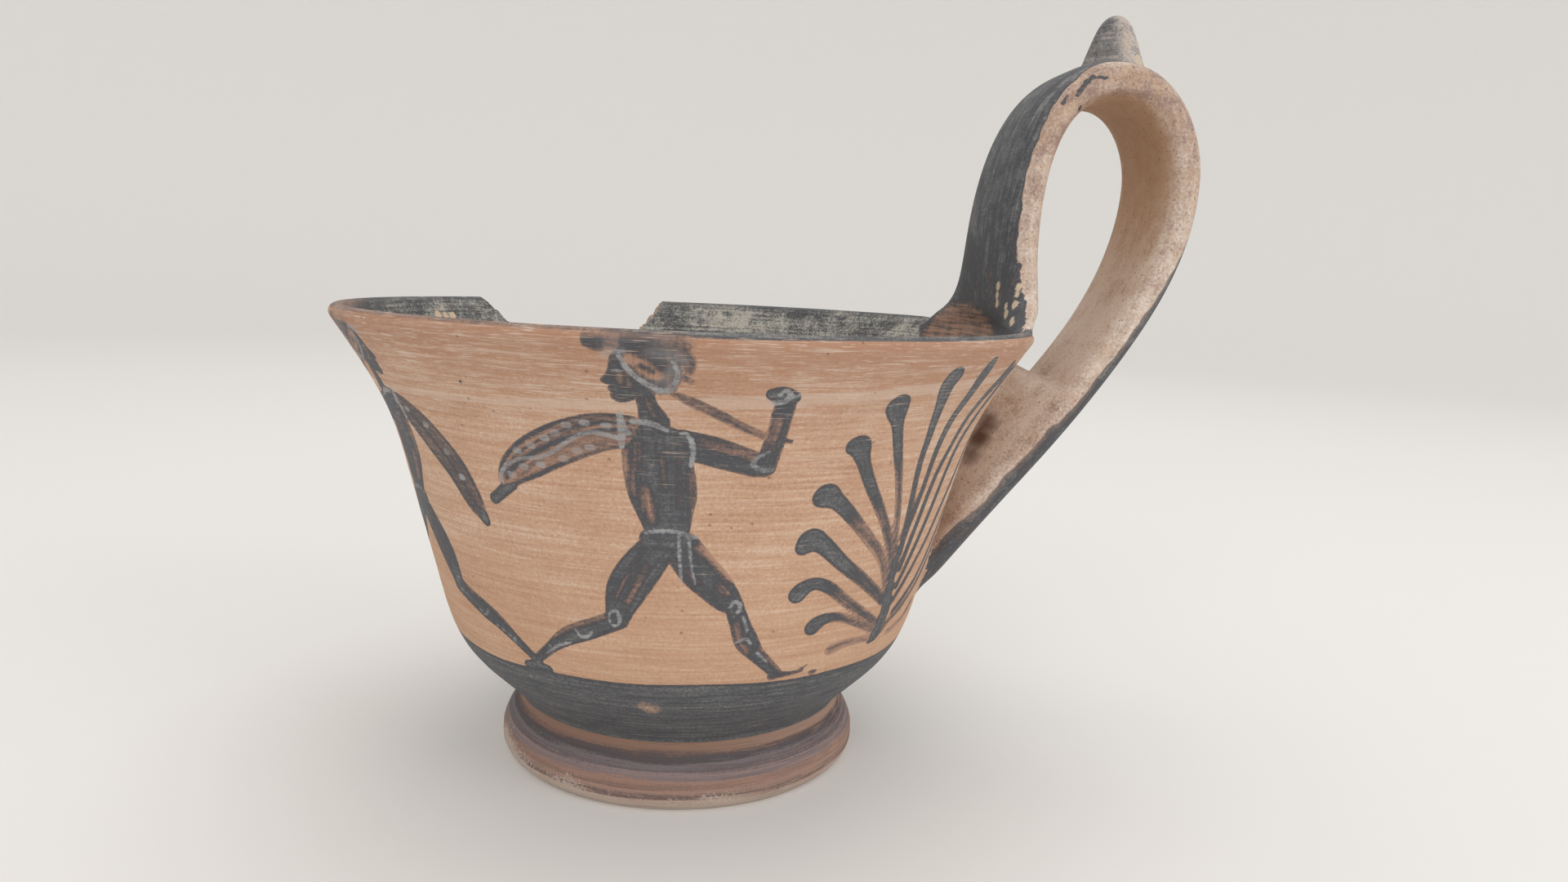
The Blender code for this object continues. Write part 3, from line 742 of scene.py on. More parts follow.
def lay(chosen, depth, brushed, loaded):
    """Lays slip where it is deeper than what lies there already, with the brush's direction and load."""
    deeper = depth > slip[chosen]
    slip[chosen[deeper]] = depth[deeper]
    brush[chosen[deeper]] = brushed[deeper]
    load[chosen[deeper]] = loaded[deeper]


def stroke(points, first_load=1.0, last_load=None, seed=0.0):
    """One brush stroke of slip, whose load changes evenly from its first point to its last."""
    chosen, depth, along, across, length = swept(points)
    last_load = first_load if last_load is None else last_load
    loaded = first_load + (last_load - first_load) * np.clip(along / length, 0.0, 1.0)
    lay(chosen, depth, np.column_stack([along, across, np.full(len(chosen), seed)]), loaded)


def thinned(points, left=0.2, soft=0.45):
    """A streak within a painted figure where the slip is thin and shows brown."""
    chosen, depth = swept(points)[:2]
    share = rise_from(-soft, soft, depth)
    load[chosen] = load[chosen] * (1 - share) + left * share


def whitened(points):
    """One stroke of dull white."""
    chosen, depth = swept(points)[:2]
    white[chosen] = np.maximum(white[chosen], depth)


def clouded(layer, points, strength):
    """A soft cloud in a layer of dull white or of wear."""
    chosen, depth = swept(points)[:2]
    layer[chosen] = np.maximum(layer[chosen], strength * rise_from(-0.8, 0.8, depth))


def patch(outline, loaded=0.9, seed=0.0):
    """One filled patch of slip, whose outline is (degrees, height) points, brushed up and down."""
    outline = np.asarray(outline, float)
    outline = smooth_line(np.vstack([outline, outline[:1]]))
    chosen = near_wall(outline, 2.0)
    nearest = np.full(len(chosen), DEEP)
    crossings = np.zeros(len(chosen), int)
    for start, end in zip(outline, outline[1:]):
        from_start, from_end = flat_offsets(chosen, start), flat_offsets(chosen, end)
        line = from_start - from_end
        length = np.maximum((line ** 2).sum(axis=1), 1e-9)
        share = np.clip((from_start * line).sum(axis=1) / length, 0.0, 1.0)
        off = from_start - line * share[:, None]
        nearest = np.minimum(nearest, np.hypot(off[:, 0], off[:, 1]))
        spans = (from_start[:, 1] > 0) != (from_end[:, 1] > 0)
        level = from_start[:, 1] / np.where(line[:, 1] == 0, 1e-9, line[:, 1])
        crossings += spans & (from_start[:, 0] - level * line[:, 0] > 0)
    across = flat_offsets(chosen, outline.mean(axis=0))
    brushed = np.column_stack([across[:, 1], across[:, 0], np.full(len(chosen), seed)])
    lay(chosen, np.where(crossings % 2 == 1, nearest, -nearest), brushed, np.full(len(chosen), loaded))


def placed(points, centre, facing):
    """A figure's own points, measured from its middle, set on the wall and turned to face its way."""
    points = np.array(points, float)
    points[:, 0] = centre + facing * points[:, 0]
    return points


def beside(points, share, width):
    """A thinner line that runs along a stroke, off its middle by a share of its half width."""
    points = smooth_line(points, 3)
    across_scale = math.radians(1.0) * WAIST_RADIUS
    ahead = np.gradient(points[:, :2] * (across_scale, 1.0), axis=0)
    ahead /= np.linalg.norm(ahead, axis=1)[:, None]
    sideways = np.column_stack([-ahead[:, 1] / across_scale, ahead[:, 0]])
    moved = points[:, :2] + sideways * points[:, 2:] * share
    return np.column_stack([moved, np.full(len(points), width)])


# Running figures: brushed in slip as silhouettes, one arm stretched out in a dotted sleeve, the other raised
# with a staff, and the knees bent. Degrees count from the figure's middle and are negative towards its face,
# which is a plain profile.
TORSO = ((-5.8, 63.6), (-6.8, 61), (-7, 58.4), (-6.8, 55.4), (-6.1, 52.7), (-5, 50.6), (-3.8, 48.4),
         (-3, 47.4), (0, 47), (3.4, 47.4), (3.8, 48.6), (4.2, 51), (4.7, 53.2), (4.5, 55.6), (4, 57.8),
         (3.2, 61), (2, 62.5), (-0.3, 63.6), (-2, 64.4))
NECK = ((-3.2, 68, 1.25), (-2.6, 65.8, 1.4), (-1.8, 63.8, 2))
FACE = ((-6.2, 73.2), (-6.9, 72.4), (-7.3, 71.5), (-7.4, 70.8), (-8, 69.9), (-8.7, 69.1), (-8.2, 68.6),
        (-7.6, 68.4), (-8, 68), (-7.5, 67.6), (-7.7, 67.1), (-7.3, 66.5), (-6.2, 66.2), (-4.8, 66.5),
        (-3.6, 67.4), (-2.8, 69.2), (-3, 71.5), (-4, 73.2))
HAIR = ((-5.5, 73.6), (-6, 72), (-4.6, 69.6), (-2.6, 67.8), (0.4, 67.6), (1.8, 69), (2.2, 71.4),
        (3, 73.6), (3.4, 74.6), (-1, 75), (-5, 74.8))
CURLS = (((1.4, 73.4, 1.4), (2.6, 71.9, 1.2), (2.8, 70.8, 0.8)), ((1.6, 70.2, 0.6), (3.2, 69.3, 0.5)))
CAP = (((-9.7, 73.7, 0.6), (-8.4, 73.8, 1.2), (-7.6, 74.2, 0.8)),
       ((-5.4, 74.2, 1.1), (-3, 74.4, 1.2), (-1.2, 74.6, 0.9)))
CAP_VEIL = (((-8, 74.3, 0.7), (-6, 74, 1), (-5, 73.9, 1)),
            ((-1.4, 74.2, 1), (0.8, 74.1, 1), (2, 73.8, 0.9)))
EAR = ((-4.6, 72, 0.8), (-2.8, 70.9, 1), (-1, 69.9, 0.8))
EAR_CORE = ((-3.2, 71.2, 0.35), (-1.8, 70.4, 0.3))
RIBBON = (((-5.9, 72.5, 0.3), (-4.9, 70.7, 0.42), (-3.4, 69.3, 0.42), (-1.7, 68.4, 0.5), (-0.7, 68, 0.6),
           (0.3, 68.2, 0.6)), ((0.3, 68.2, 0.6), (1.2, 69.3, 0.42), (1.4, 70.6, 0.4), (0.8, 71.8, 0.35)),
          ((-8, 72.4, 0.3), (-6.5, 72.8, 0.4), (-5, 72.9, 0.3)))
HAZE = (((-7.4, 73, 0.7), (-5.8, 73.2, 0.6)), ((-1.8, 72.9, 0.7), (0.2, 72.7, 0.9), (2, 72.2, 0.8)),
        ((-1.4, 68.5, 0.7), (0.2, 69, 1.1), (1, 70.6, 1), (1.2, 71.8, 0.7)))
EYE = ((-7, 70.3, 0.12), (-6.3, 70.4, 0.28), (-5.7, 70.3, 0.14))
SLEEVE = ((-5.4, 62.3, 2.5), (-8.2, 62.2, 2.8), (-10.9, 61.8, 3), (-14.8, 60.6, 3.15), (-18.7, 59.1, 3.1),
          (-22.6, 57.3, 2.9), (-25.9, 55.5, 2.3), (-27.7, 54, 1.7))
HAND = ((-27, 53.3, 1), (-29.3, 51.9, 0.95), (-31.5, 50.6, 0.9))
SLEEVE_LINE = ((-7.2, 61.2, 0.38), (-9.3, 61.7, 0.4), (-12, 61.8, 0.38), (-15.3, 60.3, 0.35),
               (-17.6, 58.9, 0.32), (-20.4, 57.7, 0.35), (-24.2, 57.1, 0.3), (-27.3, 56, 0.35),
               (-28.9, 54.4, 0.4), (-29, 53.4, 0.35))
SLEEVE_DOTS = ((-12.2, 63.1), (-15.1, 62.6), (-17.2, 61.4), (-19.2, 60.5), (-21.9, 59.2), (-24.7, 58.2),
               (-9, 62.9), (-11.9, 59.7), (-14.1, 59.1), (-16.6, 57.8), (-20.8, 56.6), (-24.1, 56),
               (-26.8, 54.6))
UPPER_ARM = ((2, 60.9, 2.2), (6.4, 60, 2.3), (10.2, 59, 2.1), (13.5, 58.1, 1.85), (15.2, 57.8, 1.5))
FOREARM = ((15.2, 57.7, 1.5), (15.7, 60.3, 1.5), (16.1, 62.6, 1.45), (16.2, 65, 1.5), (16.3, 66.2, 1.5))
FIST = ((14.2, 68, 1), (15.6, 67.8, 1.45), (17.1, 67.5, 1.1))
STAFF = ((0.9, 67.7, 0.45), (3.4, 66.6, 0.8), (7.2, 65, 0.8), (10.3, 63.6, 0.72), (14, 62.2, 0.65))
STAFF_END = ((16.5, 61.8, 0.4), (18.6, 61.3, 0.35))
BACK_THIGH = ((-1, 47.3, 2.1), (-1.8, 45.8, 2.5), (-4.5, 42.8, 2.95), (-7.1, 39.6, 2.9),
              (-8.6, 36.6, 2.15), (-9.1, 35, 1.7))
BACK_SHIN = ((-9.2, 34.6, 1.65), (-12.8, 33.3, 1.6), (-16.8, 32, 1.65), (-20.6, 30.6, 1.4),
             (-24.3, 28.5, 0.95), (-28.2, 26.1, 0.75))
BACK_FOOT = ((-28, 26.2, 0.8), (-28.8, 25, 1), (-26, 24.6, 0.8))
FRONT_THIGH = ((2.6, 45.8, 2.7), (5.5, 42.7, 2.8), (8.1, 40.6, 2.6), (10.6, 38.4, 2.1),
               (12.4, 37.1, 1.45))
FRONT_SHIN = ((12.5, 36.9, 1.4), (14, 34.1, 1.5), (15.6, 31.4, 1.75), (17.8, 29.3, 1.3),
              (20.6, 27.3, 1.1), (23.3, 25.4, 0.9))
FRONT_FOOT = (((22.5, 25.2, 0.9), (26, 25.1, 0.5), (29.5, 25.3, 0.3)),
              ((28, 25.3, 0.25), (30.4, 26.1, 0.2)), ((32, 24.6, 0.5), (33.2, 24.6, 0.4)))
HIPS = ((-2.9, 47.2, 1.5), (0, 46.4, 2.2), (3.1, 47, 1.4))
STREAKS = (((-4.6, 60.5, 0.5), (-4.9, 57, 0.6)), ((1.5, 58.6, 0.3), (1.9, 52, 0.3)),
           ((-1, 59, 0.25), (-0.4, 54.5, 0.25)), ((3.4, 57, 0.35), (3.9, 51.5, 0.3)),
           ((-5.9, 57.5, 0.4), (-5.5, 53.5, 0.4)), ((4.6, 61.2, 0.5), (9, 60.6, 0.8), (13.4, 59, 0.4)),
           ((15.3, 61, 0.5), (15.6, 64.4, 0.7)), ((-6.2, 69.4, 0.5), (-4.6, 70.6, 0.6)),
           ((-3.8, 45.6, 0.3), (-7, 41.5, 0.35), (-9.4, 38, 0.3)), ((3.4, 42.6, 0.4), (5.6, 41, 0.4)),
           ((-12, 34.6, 0.4), (-17.5, 33, 0.45), (-22.5, 30.6, 0.3)),
           ((18.6, 30, 0.4), (22.4, 27, 0.35), (24.4, 25.8, 0.3)), ((-6.4, 69.6, 0.4), (-5, 68.6, 0.6)),
           ((-2.6, 66.6, 0.35), (-1.6, 64.6, 0.4)), ((0.6, 73.4, 0.5), (2.8, 72.4, 0.6)))
BROWN_STREAKS = (((-6.1, 60.6, 0.2), (-6.4, 57.6, 0.35), (-5.8, 54.4, 0.2)),
                 ((-3.6, 54.6, 0.4), (-3.2, 52.4, 0.9), (-2.3, 49.9, 0.5)),
                 ((5.4, 61, 0.2), (8.4, 60.5, 0.4), (12.8, 59.2, 0.2)),
                 ((15.5, 60.4, 0.3), (15.8, 64, 0.4)),
                 ((-3.6, 43, 0.3), (-5.2, 40.6, 0.35), (-7.2, 37.6, 0.3)),
                 ((5.4, 46, 0.5), (8.6, 43.7, 0.7), (11, 41.4, 0.6)), ((9.2, 40.4, 0.35), (11, 39, 0.4)),
                 ((13.2, 34.4, 0.3), (14.1, 31.6, 0.5), (16, 29.8, 0.45)))
MARKS = (((-6.7, 64.7, 0.45), (-6.6, 62.6, 0.6), (-6.9, 60.1, 0.4)), ((-6.4, 63, 0.5), (-5.6, 62.1, 0.4)),
         ((-5.1, 63.7, 0.4), (-2.6, 63.6, 0.48), (-0.1, 62.7, 0.35)),
         ((1.8, 62.3, 0.25), (2.8, 62.2, 0.35), (3.6, 61, 0.4), (3.8, 59.4, 0.4), (3.5, 57.8, 0.32)),
         ((15.4, 59.9, 0.25), (13.5, 59, 0.35), (13.2, 58, 0.4), (14.6, 57.3, 0.38), (16.3, 57.4, 0.35)),
         ((14.2, 66.9, 0.35), (15, 66.8, 0.45), (16.4, 67.2, 0.4), (16.6, 68.1, 0.35), (15.8, 68.5, 0.35),
          (15.1, 67.9, 0.3)), ((16.4, 67.5, 0.35), (18.1, 67.9, 0.28)),
         ((-3.7, 48.1, 0.28), (0.4, 48.4, 0.36), (5, 47.6, 0.3)),
         ((1.9, 47.9, 0.26), (2.2, 44, 0.28), (2.6, 41, 0.2)),
         ((3.6, 47.9, 0.26), (4.1, 44, 0.24), (5, 40.6, 0.18)),
         ((-10.9, 34.8, 0.16), (-10.4, 35.8, 0.24), (-9.2, 35.7, 0.3), (-8.9, 34.2, 0.28),
          (-10.2, 33.5, 0.22), (-11, 34.6, 0.16)),
         ((-18, 32.2, 0.25), (-17, 31.2, 0.3), (-15.4, 31.4, 0.3), (-14.6, 32.2, 0.22)),
         ((-25.2, 27.5, 0.22), (-22.6, 29, 0.28), (-19.4, 30, 0.22)),
         ((-24.6, 28.9, 0.16), (-23.4, 27.3, 0.16)),
         ((11.7, 37, 0.3), (12.4, 37.8, 0.35), (13.6, 37.2, 0.35), (13.2, 36, 0.3)),
         ((14.4, 35.4, 0.22), (15.6, 33, 0.26)),
         ((13.4, 31.2, 0.22), (15.4, 31.8, 0.3), (16.6, 30.9, 0.26)),
         ((18.2, 29.4, 0.25), (20.6, 27.6, 0.2)))
SECOND_SLEEVE = ((1.5, 63.5, 1.3), (-4.6, 61.8, 2.3), (-8.8, 59.6, 2.9), (-12.6, 56.8, 2.9),
                 (-15.9, 54, 2.6), (-18.3, 50.8, 2.2), (-19.7, 48.8, 1.7))
SECOND_HAND = ((-19.7, 48.8, 1.4), (-20.7, 47.6, 1.1), (-21.3, 46.8, 0.8))
SECOND_DOTS = ((-6, 61.5), (-10.8, 59.7), (-14.6, 56.2), (-17.2, 52.8))


def sleeve(points, hand, line, dots, centre, facing, loaded, seed):
    """A sleeve brushed along in thin slip, with dark lines along it and white dots."""
    points = placed(points, centre, facing)
    stroke(points, loaded, loaded - 0.08, seed)
    for share, width in ((0.86, 0.35), (-0.86, 0.45), (-0.08, 0.3), (-0.45, 0.15)):
        edge = beside(points, share, width)
        chosen, depth = swept(edge)[:2]
        load[chosen] = np.maximum(load[chosen], 0.92 * rise_from(-0.45, 0.35, depth))
    stroke(placed(hand, centre, facing), 1.0, 1.0, seed)
    if line:
        whitened(placed(line, centre, facing))
    for turn, level in dots:
        whitened(placed([(turn - 0.3, level, 0.46), (turn + 0.4, level, 0.56)], centre, facing))


def runner(centre, facing, seed, full=True, marked=True):
    """One running figure in silhouette, with its thin streaks and its white marks."""
    patch(placed(TORSO, centre, facing), 0.92, seed)
    patch(placed(HAIR, centre, facing), 0.66, seed + 1)
    if full:
        for line in CAP_VEIL:
            stroke(placed(line, centre, facing), 0.5, 0.45, seed + 19)
    patch(placed(FACE, centre, facing), 0.88, seed + 2)
    limbs = ((NECK, 0.9), (HIPS, 0.95), (UPPER_ARM, 0.9), (FOREARM, 0.85), (FIST, 1.0), (BACK_THIGH, 0.95),
             (BACK_SHIN, 0.95), (BACK_FOOT, 1.0), (FRONT_THIGH, 0.9), (FRONT_SHIN, 0.92), (STAFF_END, 0.8))
    for number, (line, loaded) in enumerate(limbs):
        stroke(placed(line, centre, facing), loaded, loaded, seed + 3 + number)
    for line in FRONT_FOOT + (CAP if full else ()):
        stroke(placed(line, centre, facing), 0.85, 0.7, seed + 20)
    for line in CURLS:
        stroke(placed(line, centre, facing), 0.6, 0.45, seed + 22)
    stroke(placed(STAFF, centre, facing), 0.66, 0.42, seed + 21)
    thinned(placed(EAR, centre, facing), 0.02)
    thinned(placed(EAR_CORE, centre, facing), 0.75)
    for line in STREAKS:
        thinned(placed(line, centre, facing), 0.5, 0.7)
    for line in BROWN_STREAKS:
        thinned(placed(line, centre, facing), 0.24, 0.8)
    if full:
        sleeve(SLEEVE, HAND, SLEEVE_LINE, SLEEVE_DOTS, centre, facing, 0.36, seed + 30)
    if marked:
        for line in HAZE:
            clouded(haze, placed(line, centre, facing), 0.4)
        for line in MARKS + RIBBON + (EYE,):
            whitened(placed(line, centre, facing))


runner(-98.0, 1, 1.0)
runner(-158.0, -1.1, 101.0, full=False)
sleeve(SECOND_SLEEVE, SECOND_HAND, (), SECOND_DOTS, -154.0, -1, 0.6, 150.0)
runner(126.0, 1, 201.0, marked=False)

# Palmettes: petals fan out from a short stem, each one brush stroke that starts in a loaded drop and runs
# thin. Degrees count from the stem and are negative towards the figures. Each petal opens with its load at
# the drop and at the root, and with the share of its length that stays loaded.
PALMETTE_TURN = 47.5
STEM = ((-0.9, 43, 0.8), (-1.1, 40.3, 0.95), (-0.7, 38, 1.05), (0, 35.1, 1.2), (0.9, 32.1, 1.4),
        (0.3, 29.9, 1.3), (-0.6, 28.2, 1.3))
STEM_FOOT = ((-2, 27.6, 0.8), (1.4, 28.6, 0.9), (3.4, 29.1, 0.4))
PETALS = (((0.32, 0.26, 0.1), (-14.8, 28, 1), (-10, 28.5, 0.8), (-2, 28, 0.6)),
          ((1, 0.5, 0.12), (-20.8, 32.5, 1.4), (-20, 33, 1.35), (-17.7, 33.6, 0.95), (-13.3, 33.1, 0.8),
           (-2.6, 29.6, 0.7)),
          ((1, 0.52, 0.15), (-25.7, 38.3, 1.5), (-24.8, 39, 1.4), (-22.5, 39.7, 1.05), (-18.8, 38.7, 1),
           (-13.2, 35.7, 0.95), (-1.7, 30.5, 0.8)),
          ((1, 0.68, 0.35), (-26.2, 45.7, 1.4), (-25, 46.6, 1.9), (-22.4, 45.8, 1.45), (-16.8, 42.3, 1.2),
           (-10, 38.7, 1.1), (-1.6, 34.3, 0.95)),
          ((1, 0.4, 0.14), (-24.5, 53, 1.5), (-23.4, 53.2, 1.9), (-21.3, 52.3, 1.35), (-17.5, 49.8, 1.15),
           (-12.3, 46.1, 1.05), (-6.1, 41.7, 0.95), (-2.2, 37, 0.8)),
          ((1, 0.55, 0.3), (-20.6, 60.4, 1.5), (-19.4, 60.2, 1.8), (-17.8, 58, 1.2), (-14.6, 54.1, 1.05),
           (-9.9, 49.3, 0.95), (-5.2, 44.2, 0.85), (-2, 39.5, 0.7)),
          ((1, 0.5, 0.25), (-15.3, 66, 2.1), (-13.4, 63.2, 1.1), (-11.3, 60, 0.95), (-8.2, 55.2, 0.85),
           (-5.7, 50.1, 0.8), (-3.6, 44.7, 0.75), (-2.1, 41.8, 0.7)),
          ((1, 0.85, 0.3), (-6.3, 70, 1.8), (-6.6, 68.7, 1.6), (-5.2, 65.2, 1.1), (-3.6, 60.4, 0.85),
           (-2.9, 56.2, 0.8), (-1.7, 50.3, 0.75), (-0.9, 44.3, 0.7)),
          ((1, 0.8, 0.3), (2.4, 71.8, 1.1), (2.2, 70.1, 1.5), (2.1, 67.2, 1.25), (1.1, 62.8, 1),
           (1.2, 58.4, 0.85), (1.3, 53.9, 0.75), (0.7, 49.4, 0.75), (-0.3, 45.6, 0.8), (-0.5, 41.6, 0.8)),
          ((1, 0.85, 0.3), (13.6, 70.2, 1.7), (12.4, 68.2, 1.5), (9.7, 65.8, 1.1), (7.8, 62.3, 0.9),
           (6.7, 57.8, 0.8), (5, 54.1, 0.8), (3.6, 48.2, 0.75), (1.6, 39.1, 0.75)),
          ((1, 0.85, 0.3), (17.5, 69.5, 1.6), (14, 64, 1.1), (11.1, 58.7, 0.9), (9.6, 53.5, 0.8),
           (8.6, 49.7, 0.8), (6.2, 43.2, 0.75), (2.6, 36, 0.7)),
          ((1, 0.75, 0.3), (23.5, 62, 1.7), (19.1, 53.4, 1), (14.5, 47, 0.85), (11.9, 42.8, 0.8),
           (6.7, 37, 0.75), (2.9, 33.4, 0.7)),
          ((1, 0.75, 0.3), (25.5, 50, 1.6), (19.5, 43, 1), (15.7, 38, 0.8), (11.9, 34.8, 0.75),
           (4.8, 31.2, 0.7)),
          ((1, 0.5, 0.2), (23.5, 40, 1.4), (17.5, 35.5, 0.9), (9.5, 31.5, 0.75), (2.5, 29.5, 0.65)),
          ((0.5, 0.3, 0.15), (17.5, 30.6, 0.9), (12.8, 28.6, 0.65), (5.1, 27.6, 0.55)))
for centre, facing in ((-PALMETTE_TURN, 1), (PALMETTE_TURN, -1)):
    for number, ((drop_load, root_load, kept), *line) in enumerate(PETALS):
        line = placed(line, centre, facing)
        stroke(line, drop_load, root_load, 300.0 + centre + 7 * number)
        chosen, depth, along, across, length = swept(line)
        spent = rise_from(kept, kept + 0.35, along / length)
        spent = np.where(depth > -0.3, drop_load + (root_load - drop_load) * spent, load[chosen])
        load[chosen] = np.where(np.abs(depth - slip[chosen]) < 1e-6, spent, load[chosen])
    stroke(placed(STEM, centre, facing), 0.95, 1.0, 290.0 + centre)
    stroke(placed(STEM_FOOT, centre, facing), 0.9, 0.4, 291.0 + centre)

# Bands: the lower wall and the lip are covered in slip while the cup turns, and a brush held still makes
# their edges. The lip's band is worn through to the clay on its left.
BAND_TOP = 24.1
LIP_BAND = 75.05

turning = np.column_stack([np.radians(degrees) * reach, height * 1.3, np.full(len(places), 400.0)])
wobble = 0.22 * np.sin(np.radians(degrees * 3.0 + 20.0)) + 0.1 * np.sin(np.radians(degrees * 11.0))
wall_points = np.flatnonzero(on_wall)
lay(wall_points, (BAND_TOP + wobble - height)[wall_points], turning[wall_points], np.ones(len(wall_points)))
round_left = -degrees % 360.0
worn_lip = rise_from(90.0, 112.0, round_left) * (1 - rise_from(176.0, 196.0, round_left))
lip_cover = height - LIP_BAND - 0.3 * worn_lip + 0.6 * wobble
lay(wall_points, lip_cover[wall_points], turning[wall_points], (0.95 - 0.6 * worn_lip)[wall_points])
clouded(rubbed, ((-103.1, 19.8, 1.1), (-101.6, 19.4, 1.35)), 0.85)
rubbed_lip = 1.15 * worn_lip * rise_from(74.2, 74.9, height) * (1 - 0.3 * inside)
rubbed += np.where(inside | on_wall, rubbed_lip, 0.0)
stroke(((-128.9, 67.2, 0.35), (-128.6, 67.2, 0.35)))

# Inside and handle: slip covers the whole inside and runs up the front of the riser, over the loop and down
# its outer face, lapping over its edges by a few millimetres. LAP pairs a place along the strap with a lap.
# RUST is a patch inside the root that fired brown. The spots of painted shade, dark brown in the hollow
# between the web and the wall and under the loop's top, each have a middle, a size and a strength.
LAP = ((-8, 3.4), (7, 3.2), (9.5, 2.6), (12.5, 1.5), (17, 1.2), (26, 1.4), (43, 1.2), (48, 0.5),
       (52, -0.8), (64, -1.4), (86, -0.8), (92, 0.7), (97.7, 2.1), (102.5, 2.6), (111, 3.1), (149, 3.5),
       (154, 5), (166, 7))
RUST_SIDE, RUST_HEIGHT, RUST_HALF_WIDTH, RUST_HALF_HEIGHT = 7.5, 73.0, 15.0, 6.2
SHADED_HOLLOWS = (((52.8, -4.2, 58.2), 3.2, 0.9), ((51.6, -4.4, 55.4), 3.2, 1.0), ((50.2, -4.8, 52.4), 3.0, 0.75),
          ((62, 0, 108), 9.0, 0.35), ((60.5, 0, 101), 6.0, 0.35))


def away_from(spot):
    """How far each vertex lies from a spot, in millimetres."""
    return np.sqrt(((places - spot) ** 2).sum(axis=1))


# Where each vertex of the strap lies: along it, through it, from side to side, and round its edges
strap_points = np.flatnonzero(on_strap)
hug_here = np.exp(-np.maximum(height[strap_points] - RIM_HEIGHT, 0.0) / ROOT_FLARE_HEIGHT)
hug_here = np.where(places[strap_points, 0] < RIM_RADIUS + 6.0, hug_here, 0.0)
level_reach = places[strap_points, 0] * (1 - hug_here) + reach[strap_points] * hug_here
nearest = np.full(len(strap_points), 1e9)
strap_at, strap_depth, strap_edge = np.zeros((3, len(strap_points)))
for index in range(len(strap_line) - 1):
    line = strap_line[index + 1] - strap_line[index]
    off = np.column_stack([level_reach, height[strap_points]]) - strap_line[index]
    share = np.clip((off @ line) / (line @ line), 0.0, 1.0)
    off = off - share[:, None] * line
    away = np.hypot(off[:, 0], off[:, 1])
    better = away < nearest
    nearest = np.where(better, away, nearest)
    along = strap_along[index] + share * (strap_along[index + 1] - strap_along[index])
    strap_at = np.where(better, along, strap_at)
    strap_depth = np.where(better, off @ strap_hole_side[index], strap_depth)
    strap_edge = np.where(better, strap_half_width[index], strap_edge)
strap_side = places[strap_points, 1]
to_edge = np.maximum(strap_edge - np.abs(strap_side), 0.0)
round_corner = strap_depth + STRAP_THICKNESS / 2 + np.where(strap_depth > 0, to_edge, -to_edge)

lap = np.interp(strap_at, *np.array(LAP, float).T)
lap += 0.15 * np.sin(strap_at * 0.55) + 0.1 * np.sin(strap_at * 1.7 + 1.0)
slip[strap_points] = np.clip(lap - round_corner, -DEEP, DEEP)
slip[on_knob] = DEEP
slip[inside] = DEEP
brush[strap_points] = np.column_stack([strap_at, strap_side, strap_depth])
handle_points = np.flatnonzero(on_strap | on_knob)
# The load is lower low on the strap, a painted shade on its outer face there, and higher up the riser and
# over the loop, where the slip shows paler
load[handle_points] = 0.8 + 0.04 * rise_from(60.0, 76.0, height[handle_points])
load[handle_points] += 0.17 * rise_from(82.0, 98.0, height[handle_points])
worn_border = rise_from(1.9, 0.2, lap - round_corner) * rise_from(86.0, 94.0, strap_at)
rubbed[strap_points] = np.maximum(rubbed[strap_points], 0.4 * worn_border)
rust = 1.0 - ((places[:, 1] - RUST_SIDE) / RUST_HALF_WIDTH) ** 2
rust -= ((height - RUST_HEIGHT) / RUST_HALF_HEIGHT) ** 2
rust = rise_from(-0.25, 0.35, rust) * (places[:, 0] > 44.0) * (places[:, 0] < 54.5) * (on_strap | inside)
load = load * (1 - rust) + 0.2 * rust
rusty = rust > 0.0
brush[rusty] = np.column_stack([places[:, 1], height * 1.3, np.full(len(places), 7.0)])[rusty]
# Painted shade: dark brown spots in the hollow between the web and the wall, and under the loop's top
stain = np.zeros(len(places))
for spot, size, deep in SHADED_HOLLOWS:
    stain = np.maximum(stain, deep * (1 - rise_from(0.3 * size, size, away_from(spot))))
grain = np.zeros((len(places), 3))
grain[strap_points] = np.column_stack([strap_side, strap_depth, strap_at])
grain[on_knob] = (places - (RIM_RADIUS + LOOP_TOP_OUT, 0.0, 0.0))[on_knob]

# Wear: slip has flaked off in spots at the handle's root, at the knob's tip, on the lip and inside the rim,
# and some has run or chipped onto the strap's side. CHIPS are places along the strap and through it.
FLAKES = ((51.2, -9.1, 82.5, 0.8), (51.1, -9, 80.9, 0.7), (51.3, -9.4, 79.4, 0.8), (51, -14.4, 77.9, 0.9),
          (50.4, -18.1, 77.1, 0.8), (51.3, -16.4, 79.7, 0.9), (50.2, -19.5, 76.5, 0.6),
          (52.5, -15, 82.6, 0.7), (52, -15.5, 81.3, 0.6), (51.2, -13.6, 79.2, 0.6),
          (-45.5, 27.5, 72.5, 1), (-44.5, 29.2, 72.3, 0.75), (-43.5, 30.8, 72.1, 0.9),
          (75.7, -4.5, 122, 1.3), (77.2, -2.9, 121.9, 1))
CHIPS = ((52.6, -0.2, 0.5), (51.6, -0.6, 0.55), (50.6, -1, 0.65), (49.6, -0.8, 0.75), (48.7, -0.5, 0.65),
         (47.8, -0.3, 0.6), (47, 0, 0.45), (44.6, -0.9, 0.5), (45.5, -1.1, 0.4), (46.2, 2, 0.55),
         (14.6, -1.7, 0.5), (15.6, -1.5, 0.6), (17, -1.2, 0.5), (71, -1.8, 0.5))
for *spot, size in FLAKES:
    bare = np.maximum(bare, size - away_from(spot))
knob_wear = 0.75 * (places[:, 0] - KNOB_REACH) - 0.65 * places[:, 1] + 0.3 * (height - KNOB_TIP + 3.0)
knob_wear = rise_from(0.2, 2.6, knob_wear)
knob_wear *= 1 - 0.6 * rise_from(-0.7, 0.0, height - KNOB_TIP)
rubbed = np.where(on_knob, 0.3 + 0.85 * knob_wear, rubbed)
haze = np.where(on_knob, 0.5 * knob_wear, haze)
near_side = np.flatnonzero(strap_side < -6.0)
